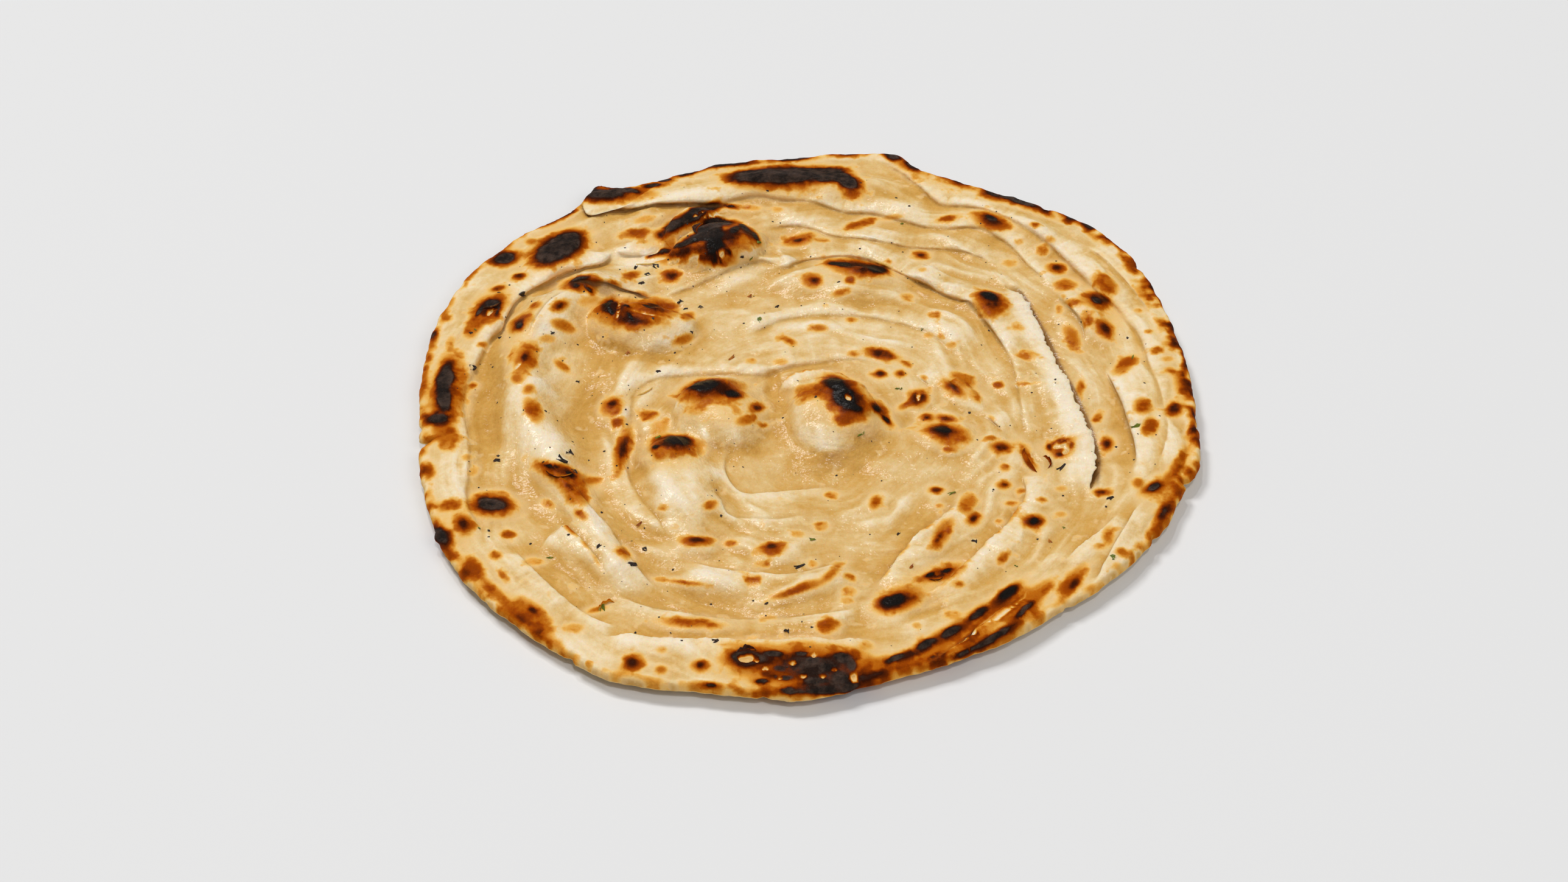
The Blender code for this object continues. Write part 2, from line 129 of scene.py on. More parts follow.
# Folds: rise, overhang, the line of the edge, browning of the edge, depth of the gap under it, and
# the side that lies on top, 1 outer or -1 inner; the last three are left out where they are 0, 0, 1
FOLDS = [Fold(*row) for row in (
    (1.3, 0.8, ((-74, 100), (-73, 95), (-71.5, 89), (-68, 87), (-64, 88.5), (-57, 90), (-45, 92.5),
     (-30, 92.5), (-22, 95.5)), 0, 0.4),
    (0.8, 0.3, ((-30, 92.5), (-22, 95.5), (-15, 96.5), (-8, 94.5), (0, 93), (5, 91), (13, 88.5), (22, 88),
     (33, 83.5), (42, 80.5), (56, 79.5), (60, 77), (66, 71), (71, 62), (76, 54), (78, 50))),
    (1.3, 0.3, ((25, 115), (30, 110.5), (36, 103), (40, 97), (44, 92.5), (52, 91), (60, 88.5), (66, 85),
     (72, 79), (78, 72), (83, 64), (88, 56), (92, 48), (97, 42), (100, 35)), 0.1),
    (0.9, 0.2, ((97, 42), (100, 35), (103, 28), (105, 15), (107, 5), (108, -12), (105, -25), (103, -30))),
    (1, 0.3, ((88, 72), (93, 67), (99, 58), (103, 50), (106, 42), (109, 37)), 0.15),
    (1.25, 1.5, ((62, 54), (67, 48), (70, 40), (73, 30), (75, 22), (77, 14), (80, 4), (81, 0), (83, -8),
     (84.5, -17), (85.5, -25), (84, -35), (84, -42)), 0.08, 3.2, -1),
    (0.7, 0.3, ((-12, 79.5), (-3, 81), (3, 79.5), (8, 76.5), (20, 73.5), (30, 71.5), (45, 70), (50, 68.5),
     (57, 65.5), (61, 60))),
    (0.5, 0.2, ((-46, 46), (-38, 50.5), (-28, 57), (-22, 61.5), (-14, 63.5), (-9, 61.5), (-5, 62)), 0.1),
    (1, 0.4, ((-12, 62), (-6.5, 61), (0, 64.5), (8, 66), (18, 66), (25, 62), (30, 58.5), (37, 53),
     (43, 48)), 0.05),
    (1.15, 0.5, ((30, 58.5), (37, 53), (43, 48), (50, 44.5), (53, 41), (57, 33), (60, 25),
     (62.5, 18)), 0.05, 0.15),
    (0.5, 0.15, ((60, 25), (62.5, 18), (64, 8), (64.5, 0), (65, -8), (66, -18))),
    (1, 0.7, ((-76, 53), (-72, 54.5), (-66, 54), (-60, 52), (-55, 49.5), (-50, 47.5),
     (-45, 46.5)), 0.45, 0.4),
    (0.7, 0.5, ((-62, 73), (-60.5, 69), (-57, 68), (-50, 68), (-47, 71), (-44, 74)), 0, 0.1),
    (0.5, 0.2, ((-73, 52), (-77, 49), (-81, 44), (-84.5, 36), (-87, 26)), 0.1, 0.1, -1),
    (0.55, 0.15, ((-20, 29), (-14, 32), (-8, 36), (0, 38), (10, 38.5), (18, 38), (25, 36), (32, 33.5),
     (40, 28), (47, 20))),
    (0.6, 0.1, ((-53, -12), (-53, 0), (-52, 4), (-48, 8), (-42, 10.5), (-33, 11.5), (-25, 11), (-18, 10.5),
     (-12, 11.5), (-5, 14.5), (3, 16.5), (12, 18.5), (22, 17.5))),
    (1.4, 0.6, ((-10, 2), (-8, 7), (-5, 10.5), (0, 12.5), (5, 13.2), (10, 12), (15, 8), (18, 4), (20, 0),
     (22, -3), (24, -6), (25, -11)), 0.35, 0.1, -1),
    (1.3, 0.5, ((-41, -8), (-40, -2), (-37, 4), (-32, 8), (-26, 9.5), (-20, 8.5), (-15, 5)), 0.25, 0, -1),
    (0.8, 0.4, ((32, 13), (36, 8), (40, 3)), 0.6, 0.1),
    (0.8, 0.4, ((40, 11), (44, 6), (48, 2)), 0.6, 0.1),
    (0.8, 0.4, ((52, -4), (55, -9), (58, -13), (61, -18)), 0.5, 0.1),
    (1.2, 0.5, ((63, -30), (64, -38), (63, -43), (60, -48), (58, -52), (55, -56), (50, -62), (46, -67),
     (41, -73), (38, -77), (32, -81)), 0.3),
    (1.2, 0.5, ((44, -43), (42, -46), (38, -51), (34, -55), (29, -61), (26, -65), (23, -71),
     (18, -78)), 0.3, 0.1),
    (0.9, 0.4, ((78, 50), (80, 46), (82, 42), (85, 36), (86, 31), (86, 25)), 0.5, 0.1),
    (1.3, 0.5, ((91, 15), (93, 8), (95, 0), (96, -8), (97.5, -20), (97, -30)), 0.1, 0.1),
    (1, 0.4, ((91, -47), (85, -55), (78, -62), (72, -70))),
    (1, 0.5, ((97, -43), (93, -52), (88, -62), (84, -70), (80, -78)), 0, 0.1),
    (0.9, 0.4, ((104, -43), (101, -49), (97, -56)), 0.1, 0.1),
    (1.5, 0.6, ((-62, 72), (-62, 68), (-64, 64), (-70, 61.5), (-77, 58.5), (-82, 54), (-87, 50), (-91, 45),
     (-93, 38), (-94, 32), (-97, 28), (-99, 22)), 0, 0.2),
    (0.9, 0.1, ((-93, 38), (-97, 28), (-101, 15), (-103, 8), (-104, 0), (-103, -8), (-101, -18),
     (-100, -30), (-100, -38), (-99, -45), (-96, -52), (-92, -60))),
    (0.8, 0.2, ((-78, -28), (-72, -33), (-68, -37), (-65, -42), (-62, -47), (-58, -53), (-54, -60),
     (-50, -67), (-46, -74), (-42, -79)), 0.1),
    (0.7, 0.1, ((-53, -16), (-53, -30), (-52, -35), (-48, -43), (-45, -48), (-42, -54), (-40, -60))),
    (1, 0.5, ((-75, -52), (-70, -53), (-66, -57), (-62, -63), (-59, -69), (-57, -75)), 0.5, 0.1),
    (1.2, 0.4, ((-60, -96), (-50, -96), (-45, -97), (-35, -98), (-15, -98.5), (0, -98.5), (10, -98),
     (20, -96))),
    (1.4, 0.6, ((31, -108), (38, -102), (48, -93), (58, -83), (62, -79)), 0, 0.1),
    (0.45, 0.3, ((10, -37), (-4, -38.5), (-16, -40), (-20, -39), (-23, -34), (-24, -28), (-23, -21)), 0.1),
    (0.45, 0.2, ((0, -48), (-10, -51), (-22, -50), (-25, -44), (-28, -38), (-30, -32))),
    (0.35, 0.2, ((-5, -26), (3, -23), (10, -21), (18, -20.5))),
    (0.9, 0.3, ((-85, -62), (-78, -72), (-68, -83), (-60, -90), (-52, -93))),
    (0.7, 0.2, ((-56, -80), (-44, -86), (-30, -89), (-12, -90), (4, -89), (16, -86))),
    (0.7, 0.2, ((-36, -66), (-24, -71), (-8, -73), (4, -70), (12, -66))),
)]

# Browning: each row is across, up, length, width, and the turn of the length where it isn't 0
SCORCHED = (
    # rim and outer band, round from the back
    (-66, 98, 14, 5.5, -4), (-58, 99.5, 9, 3, -10), (-50, 102, 6, 2, 12), (-46, 105, 5, 1.8, 15),
    (-39, 108.5, 7, 1.6, 20), (-28, 113, 22, 2.6, 6), (-5, 116.5, 12, 2.4, 2), (14, 119.5, 7, 2.4),
    (29, 117.5, 7, 4, -40), (70, 94, 14, 2.8, -28), (86, 86.5, 4, 2, -40), (92, 82, 3, 2, -45),
    (-16, 106.5, 18, 7.5, 2), (-4, 107, 22, 9, 2), (7, 107.5, 16, 8.5, 4), (13, 104.5, 10, 6, -60),
    (-79, 70, 19, 11, 47), (-77, 73.5, 11, 8, 55), (-96, 65.5, 7, 4.6, 25), (-98, 43.5, 5, 4.6, 30),
    (-102, 40, 6, 1.6, 70), (-96, 40, 5, 1.4, 80), (-110.3, 7.5, 20, 5.2, 88), (-109.5, 0, 12, 4, 95),
    (-111, -8.5, 7, 4.4, 10), (-106.5, -57.5, 6, 3.6, -62), (-92.5, -45, 9, 5.4, -14),
    (102, -38, 4.6, 2.2, 35),
    # the tall blister at the back left and the ridge behind it
    (-42, 81.5, 9, 5, 37), (-36, 86.5, 10, 5.4, 40), (-31, 91, 7, 4, 25), (-24.5, 91.8, 4, 1.2, -10),
    (-28, 83, 11, 5, -8), (-29.5, 77, 8.5, 13, 5), (-22.5, 79, 3, 5, -30), (-29, 70.5, 7, 8),
    (-33.6, 78.5, 2.6, 8), (-34, 74.5, 9, 4.4, 12), (-39, 71.8, 8, 2.8, 18), (-45.5, 69.3, 6, 2.2, 25),
    (-50, 67, 4, 1.8, 30), (-19.5, 80, 6, 1.9, -52), (-16, 75.5, 5, 1.6, -68), (-28, 63.5, 3, 2.4),
    (-23.5, 67, 2.6, 2.2),
    # middle
    (-71, 55, 7, 2.2, 15), (-72, 51.5, 3, 2, -50), (-68.5, 50.5, 5, 1.4, -60), (-61.5, 43.5, 5, 1.8, 80),
    (-54.5, 37, 4.6, 1.2, -65), (-55.5, 42, 3, 1, -30), (-60.5, 39.5, 4, 1.4, -70),
    (-49.5, 42, 4, 1.1, -30), (-88.5, 33, 3, 2, 60), (-31, 5.8, 10, 4.6, 16), (-22.5, 2, 6, 3.4, -20),
    (-38.5, -18, 9, 4, -12), (-45, -21, 2.6, 1.8, 30), (9, 6, 10, 7, -55), (11.5, 0, 10, 6.6, -70),
    (14.5, -4, 5, 3, -30), (24, -9, 5, 1.8, -55), (21, -4.5, 3, 1.6, -60), (41, -13.5, 6, 2.8, -8),
    (22.5, 60.5, 7, 5, -30), (12, 62.5, 6, 2.4, -5), (9, 63, 4, 1.8), (57.5, 47, 6.5, 4, -35),
    (60, 85.5, 4.4, 2.2, -28), (91, 45, 4.6, 2.6, -45), (24, -83.5, 8, 4.6, 28), (66, -52, 3, 2.2, 40),
    (35, -73.5, 3.6, 1.6, 25), (40, -72, 3, 1.4, 20), (-75.5, -29, 5, 1.4, -10), (-70, -32.5, 4, 1.6, -30),
    # front
    (-18, -104.5, 7, 4), (-10, -103.6, 6, 2.4), (-8, -109, 4, 2.6), (1, -106, 4, 2.4, 20),
    (4.5, -108.5, 3.4, 2.6), (9.5, -105, 4, 6, 80), (12, -108, 3, 5), (-2, -103.4, 4, 1.8),
    (-7, -112.6, 6, 2, -4), (2, -114, 7, 2.2), (9, -113, 5, 2.6, 10), (3, -117.8, 20, 1.4, 3),
    (-13, -114, 4, 2), (-27, -115.5, 3, 1.2), (-6, -117, 4, 2.6), (5, -117.5, 5, 2.6),
    (11.5, -116, 4, 3, 20), (24, -105.5, 7, 2.2, 30), (33, -100, 7, 2.6, 36), (40, -95.5, 7, 3, 40),
    (48, -88.5, 8, 3, 42), (57, -80.5, 8, 3, 45), (44, -103, 11, 2.4, 32), (53, -96.5, 9, 2.6, 45),
    (61, -87, 9, 2.2, 50), (36, -104, 7, 1.2, 34), (46, -96.5, 5, 1.2, 40), (56, -87.5, 6, 1.2, 48),
)

CHARRED = (
    (-8, -105.5, 25, 5, 2), (-1, -109, 24, 9, -8), (7, -108, 13, 11, 20), (4, -116, 22, 6, 2),
    (13, -104, 4, 5, 20), (-11, -111, 7, 4, -30), (19, -111, 8, 3, 25),
)

DARKENED = (
    (-79, 70.5, 20, 12, 47), (-96, 65.5, 10, 7, 25), (-66, 97, 19, 7), (-90.5, 57, 4, 2.6, 10),
    (-97, 51, 4.4, 2.6, 20), (-99, 42, 9, 6, 60), (-88, 82, 9, 2.4, 42), (-79, 87.5, 10, 2.6, 40),
    (-98, 74, 6, 2.6, 48), (-92, 78, 4, 2.4, 48), (-6, 107, 32, 11, 3), (15, 103, 9, 6, -70),
    (-24, 75.5, 7, 8), (-36, 69, 18, 4.6, 14), (-30, 66, 9, 5.6), (-37.5, 84.5, 20, 6, 38),
    (-18.5, 78, 9, 3.6, -55), (-46, 77.5, 4, 4, 40), (-71, 53, 8, 4, 10), (-61, 42, 8, 6, -70),
    (-54, 35.5, 11, 4.4, -12), (-47, 41.5, 8, 3.4, -30), (-58, 40.5, 10, 5.6, -15),
    (-76.5, 42.5, 4, 2.6, 50), (-89, 34, 6, 3, 60), (-86, 19, 7, 2.6, 75), (-115.5, 28.5, 5, 2.4, 80),
    (-110, 4, 22, 6.4, 90), (-111, -9, 9, 7), (-100, -52.5, 6, 3, -70), (-106, -58, 8, 5.4, -62),
    (-92.5, -45, 11, 7.4, -14), (-78, -87, 4, 2.4, -58), (-72, -31, 11, 3.4, -28),
    (-69.5, -38, 4, 2.4, -55), (-55, -22, 12, 2.8, 82), (-59, -2.5, 4, 3, 60), (-29, 4.5, 16, 8, 8),
    (-15, -4, 3, 2.6), (-40, -19, 12, 6, -6), (11.5, 1, 17, 10, -66), (21, -4, 6, 2.6, -60),
    (34, 0.8, 6.5, 4.6, 75), (22.5, 11.5, 2.6, 2.4), (29, 11.5, 2.2, 2), (23, 20.5, 8, 3.6, -20),
    (45, 5, 6, 2.4, -52), (36.5, -8, 2.2, 2), (42, -8.5, 4, 2, -10), (41.5, -14, 10, 5, -12),
    (58, -21, 4.4, 3.4), (58, -37, 2.4, 2), (76, -18.5, 6, 1.6, 25), (72.5, -21, 3, 1.6, 80),
    (79, -20, 3.4, 1.4, 80), (75.5, -24, 2.6, 2), (90, -19.5, 4, 2.6, 80), (86.5, -40, 3, 2),
    (102, -38, 7, 3.4, 35), (111, -4, 4, 3.6, 60), (93, 32, 6, 3, -75), (92.5, 46, 7, 4, -45),
    (80, 61, 3.6, 3), (60, 84.5, 9, 5, -28), (57.5, 45.5, 9, 7, -40), (18, 61, 15, 5.6, -12),
    (2.5, 55, 3.6, 3.4), (-42.5, 57, 4, 3.4, 60), (-2, 74.6, 5, 2.4, 22), (37, 67.5, 3, 2.2),
    (66, -52, 5, 4, 20), (48.5, -51, 3.4, 2.4, 60), (38, -39, 3, 2), (38, -58.5, 5, 1.8, 62),
    (25, -83.5, 11, 6.6, 28), (38, -73, 9, 3, 26), (-32, -59.5, 5, 2.4, -10), (-10.5, -62, 3, 2.4),
    (-49, -107, 4, 4, 60), (-30, -108, 3, 2.8), (-17, -105, 11, 7.4), (2, -109.5, 25, 12, -6),
    (-16, -105, 10, 7, 10), (4, -116.5, 24, 5, 3), (10, -114, 14, 7, 10), (36, -99, 24, 3.4, 38),
    (56, -82, 12, 4, 48), (51, -98, 20, 2.6, 40), (27, -104.5, 12, 2.6, 30), (76, -77, 5, 2.6, 60),
    (104, -48, 4, 2.2, 60), (112.5, 45, 6, 2.6, 105), (111, 53, 4, 2.4, 110), (115.4, 33, 6, 1.6, 98),
    (61, 98, 5, 2, -35), (47, 108.5, 9, 2, -32), (35, 112.5, 6, 2.4, -45),
)

BROWNED = (
    (34, 112, 9, 4, -45), (47, 108, 12, 4, -30), (60, 97, 8, 3.5, -35), (-98, 74, 11, 4, 48),
    (-88, 74, 4, 3), (-55, 78, 9, 5, 10), (-45.5, 77, 6, 7, 30), (-22.5, 75, 12, 12, -10),
    (-37, 67.5, 22, 7.4, 12), (-28, 65, 12, 7), (-42.5, 57, 7, 6.5, 60), (-55, 57.5, 6, 3.5, 30),
    (-56, 39, 21, 14, -12), (-46, 42, 13, 9, -25), (-37, 38, 4, 3.5, 60), (-38, 27, 6.4, 3.4, 35),
    (-84.5, 42.5, 4.4, 2.8, 45), (-76.5, 42.5, 6, 4, 50), (-75, 33, 8, 4.6, -38), (-88.5, 35, 11, 6, 60),
    (-86, 18, 15, 6.6, 80), (-88, 9, 4, 3.4, 80), (-84, 4.5, 4, 3, 80), (-82, -5, 10, 4.8, -70),
    (-75, 15, 6, 2.6, -55), (-103, 33, 10, 5, 70), (-102, 6, 2.6, 2.2), (-117, 11, 9, 2, 88),
    (-109, 4, 30, 10, 88), (-108, -15, 13, 7, -75), (-112, -31, 6, 4, -80), (-105, -45.5, 7, 4.5, 20),
    (-100, -53, 9, 5.5, -70), (-107, -58, 12, 7, -60), (-96, -71, 10, 5.6, -65), (-90, -65.5, 3.4, 3),
    (-92.5, -45, 14, 9.5, -10), (-87, -57, 4, 3), (-78, -90, 17, 8, -54), (-72, -32, 17, 7, -30),
    (-68.5, -39, 12, 6, -60), (-66, -49, 5, 2.6, -50), (-63.5, -35, 5, 3), (-59, -3, 8, 6, 70),
    (-57, -10, 5, 3.6, 60), (-55, -22, 18, 4.6, 82), (-48, -7, 5, 4.5), (-29, 3, 20, 11, 8),
    (-15, -3.5, 5, 4.6), (-18, -9, 6, 3.6, 30), (-39, -20.5, 15, 8.6), (-44, -24, 4, 5),
    (12, 0, 20, 12.5, -66), (2, 3.5, 11, 7, 20), (11, -9, 6.5, 4.5), (22, -4, 9, 4, -60),
    (34, 0.5, 8.4, 6.4, 70), (30, -2.5, 5, 2.4, 40), (22.5, 11.5, 4.4, 4), (29, 11.5, 3.6, 3.4),
    (23, 20.5, 10.6, 5, -20), (14.5, 20.5, 3, 2.2), (45, 5, 9, 4.6, -48), (48, 9, 8, 5, -40),
    (51.5, 2, 5, 2.4, -60), (58.5, 6.5, 3.2, 2.6), (36.5, -8, 4, 3.6), (42, -8.5, 6.5, 3.4, -10),
    (42, -15, 14, 8, -15), (42, -22, 3, 2.4), (58, -21, 6.6, 5), (58.5, -29.5, 2.8, 3), (58, -37, 4.4, 4),
    (76, -21, 8.4, 6.4, 60), (66, -25, 11, 3, -70), (90, -19.5, 6.4, 4, 80), (86.5, -40, 4.6, 3),
    (97.5, -36, 4, 3.2, 80), (102, -38, 9.4, 5, 38), (111, -5, 6, 4.6, 60), (101.5, -3, 7, 5.4, 75),
    (103, -12, 7, 4.6, 80), (83.5, 5, 6.4, 2.4, 80), (88, -8, 5, 2.4, 55), (98, 15.5, 10, 4, 50),
    (108, 22, 3.6, 2.6, 30), (82.5, 28, 10.4, 4.6, -80), (93, 32, 9.4, 5.6, -75), (88, 35.5, 5, 2.4, 80),
    (91, 45, 10, 6.5, -40), (84, 44.5, 5, 3), (82, 53, 7, 5, 20), (80, 61, 6.4, 5.6),
    (94.5, 53, 9.4, 6.4, -60), (60, 84, 12, 7.4, -28), (46, 85.5, 7, 2.8, 20), (18, 83, 11, 4, 28),
    (-2, 75, 11, 5.4, 22), (37, 67.5, 5.4, 4.4), (58, 44, 11.4, 9, -45), (16, 61, 20, 8, -15),
    (14, 55, 4, 4), (2, 55, 7, 6.4), (11, 49, 5.6, 3, 30), (4, 32.5, 4.2, 3.4), (75, -77, 12, 5, 60),
    (87, -58, 6.6, 3, 80), (104, -48, 7.4, 4, 60), (66, -52, 7, 5.4, 10), (48.5, -51, 5.6, 4, 60),
    (39, -57, 12, 4.6, 65), (47, -44, 6.4, 5, 60), (38, -39, 4, 3), (20, -44, 5.4, 3.6, 70),
    (60, -44.5, 3.4, 1.8), (56, -66.5, 4.4, 2.6, 60), (43, -77, 3, 2.6), (-32, -60, 8, 4.4),
    (-10.5, -63, 8, 5, 10), (-35, -76.5, 10, 1.6, -8), (0, -77.5, 8, 3.4, 28), (6.5, -73, 8, 2.4, 48),
    (-6, -80.5, 9, 2.6, 25), (5.5, -93, 6.2, 5.2), (-33, -92, 16, 3.4, -5), (26, -83, 14, 8.5, 30),
    (38, -73, 13, 5, 28), (-49, -107, 7, 6, 60), (-41, -109.5, 3.2, 2.8), (-30, -108, 5, 4.4),
    (-17, -105, 14, 9.4), (-1, -108, 38, 17), (18, -109, 14, 7, 25), (42, -97, 40, 9, 40),
    (60, -85, 14, 10, 45), (-60, -87, 5, 2, 20), (66, -80, 11, 4.4, 50), (-63, 98, 26, 8.4),
    (-7, 106, 36, 11.5, 2), (15, 102, 13, 8.4, -72), (-79, 70.5, 21, 13.5, 45), (-96, 65.5, 10, 7, 20),
    (-99, 42, 15, 9, 60), (86, 88, 9, 3, -40), (-71, 53, 12, 7, 5), (93, -75, 7, 2.6, 50),
    (-13, -11.5, 2.4, 1.8), (113, 48, 24, 3.4, 108), (116.5, 25, 20, 1.6, 96), (116, -12, 12, 2, 82),
    (109, -30, 20, 3.4, 62), (-84, -86, 36, 3, -50), (-60, 104, 26, 3, 18), (-5.5, 26.5, 5, 2.8, -35),
    (14, 36.5, 2.6, 2), (30.5, 16.5, 3.4, 1.8, -20), (-28.5, -45, 4.2, 3.2, 30), (-22.5, -61, 3.2, 2.4),
    (-16, -75, 3.6, 2), (12, -74, 3, 2, -30), (-53, -64.5, 5, 2.4, -55), (74, 82, 2.6, 2),
)

GOLDEN = (
    (-52, 85, 8, 4, 20), (-48, 73, 18, 12, 20), (-80, 27, 6, 4), (-68, 45, 8, 5, 30), (-90, 20, 9, 3, 80),
    (-100, 25, 3, 2.6), (-110, 25, 8, 3.4, 85), (-109, -52, 6, 4, -70), (-87, -74, 7, 3, -60),
    (-79, -68, 6, 4), (-66, -94, 6, 4), (-84, -85, 34, 5, -50), (-76, -45, 6, 4, -50),
    (-59, -3, 13, 9, 70), (-44, -12, 9, 6, 60), (-26, -3, 27, 19), (-23, -6, 15, 8, 15),
    (-33, -4, 8, 7, 60), (-40, -24, 19, 15), (-33, -23, 6, 4), (12, -2, 28, 20, -60), (3, 0, 13, 9, 30),
    (31, 16.5, 4, 2), (66, 7, 5, 2), (55, -17, 4, 3), (63, -39, 3, 2.6), (106.5, 30.5, 3, 2.4),
    (104, 40.5, 3, 2.4), (111.5, 25, 4, 3), (111, 18, 4, 3), (111, 13, 4, 3), (79.5, 41, 5, 2.6, 80),
    (68.5, 74, 3.4, 3), (76, 70, 7, 4, 70), (78.5, 75, 4, 3.4), (73.5, 82, 3.4, 3), (28, 86, 8, 3, 10),
    (5, 75, 6, 3), (26.5, 64, 3, 2.4), (37, 60, 3, 2.4), (58, 42, 12, 11), (65, 63.5, 5, 4),
    (66, 32.5, 4, 3.4), (32, 47, 5, 4), (40, 38.5, 4.6, 4), (38, 29, 3.4, 3), (42, 28.5, 3, 2.8),
    (45, 24.5, 3.6, 3), (68, 20, 7, 5), (14.5, 36.5, 4, 3), (-5, 26.5, 6, 2.8, -35), (-8, 17, 5, 3),
    (-17, 17.5, 4, 3), (-9, 90, 4, 3), (-17, 91, 6, 3), (78, -72, 9, 4, 60), (84, -62, 4, 3),
    (90, -64, 4, 3), (56, -52, 3, 2.4), (39, -45.5, 3, 2.4), (7, -41, 5, 4), (4, -54, 5, 4),
    (-3, -57, 5, 3), (74, -49, 4, 3), (75, -38.5, 4, 3), (69, -43, 4, 3), (30.5, -93, 3, 2.4),
    (-22, -61, 4, 3.4), (-13, -69, 5, 3), (1.5, -69, 3.4, 3), (-34, -66.5, 13, 2.4, -22),
    (-15.5, -75, 5, 3), (11.5, -74, 4, 3), (11.5, -80, 5, 4), (11, -83.5, 4, 3), (41, -89, 5, 4),
    (16, -101, 5, 4), (-11.5, -90, 6, 2), (40, -69.5, 5, 2.4), (-41, -102, 3.4, 3), (-20, -100, 11, 3),
    (20, -110, 14, 6, 20), (-30, 73, 36, 22, 15), (-5, 104, 52, 20), (40, 106, 28, 8, -32),
    (-54, 37, 32, 22, -12), (42, -15, 22, 14, -15), (47, 6, 16, 11, -45), (92, 40, 16, 24, 10),
    (48, -93, 52, 14, 40), (-2, -108, 56, 22), (-109, 0, 46, 15, 88), (32, -78, 30, 16, 30),
    (-80, 70, 32, 22, 45), (-98, 45, 22, 14, 60), (18, 60, 26, 13, -15), (60, 84, 18, 11, -28),
    (-92, -46, 20, 14, -10), (-104, -54, 24, 14, -60), (-72, -34, 24, 12, -35), (-88, 30, 22, 10, 70),
    (-64, 100, 34, 11, 6), (-2, 76, 16, 9, 15), (26, -82, 20, 13, 30), (-112, 37, 4.4, 4),
    (-42, -46, 3.4, 3), (-99, -31, 5, 3, 70), (-101, -25, 4, 3),
)

# Places that stayed bare in the browning: torn bubbles and the crumb that shows in them
BARE = (
    (-35.5, 65.5, 4.6, 2.8, 70), (-26.6, 67.5, 3, 2.8), (-42, 64.2, 4, 2.2, 20), (-24, 69.4, 1.6, 1.2),
    (-39, 77, 9, 1.1, 42), (-29, 87.6, 8, 1.6, 25), (-34.4, 87.2, 4, 1, 40), (-48, 65.5, 7, 1.6, 10),
    (-58.3, 40.5, 7, 0.7, 86), (-50, 39, 6.5, 0.8, -18), (-56, 65.5, 11, 6, 8), (-50, 69.5, 6, 3, 20),
    (12.4, 0.7, 2.8, 1.5, -60), (34, 1, 3, 1.1, 85), (75.6, -20, 4.4, 2, 20), (77.2, -22.3, 3, 1.6, 60),
    (-17.5, -105, 4.6, 3), (-98.6, 40, 4, 1.8, 75), (-4.5, -107, 1.8, 1.4), (-12, -109, 1.4, 1.2),
    (-1.5, -112, 1.6, 1.2), (4, -112, 1.4, 1.2), (-8, -112.5, 1.2, 1), (1.5, -104, 1.5, 1.1),
    (7, -109.5, 1.2, 1), (-14.5, -106, 1.2, 1), (12.5, -112.5, 3.4, 2.2, 80), (37.2, -73, 1.4, 1, 20),
    (68, -25.5, 5, 1.6, -70), (49, -93, 30, 0.7, 41), (-88, 15, 3, 0.8, 60),
)

# Toasting of the very edge: clock angle, how brown, and how far in it reaches
RIM_TOAST = (
    (0, 0.6, 2.5), (20, 0.56, 4), (35, 0.62, 6), (60, 0.66, 6.5), (95, 0.62, 6.5), (110, 0.48, 5),
    (130, 0.35, 3), (165, 0.4, 3), (190, 0.3, 2), (215, 0.35, 3), (245, 0.4, 3.4), (270, 0.4, 3.4),
    (295, 0.35, 3), (330, 0.6, 2.5),
)

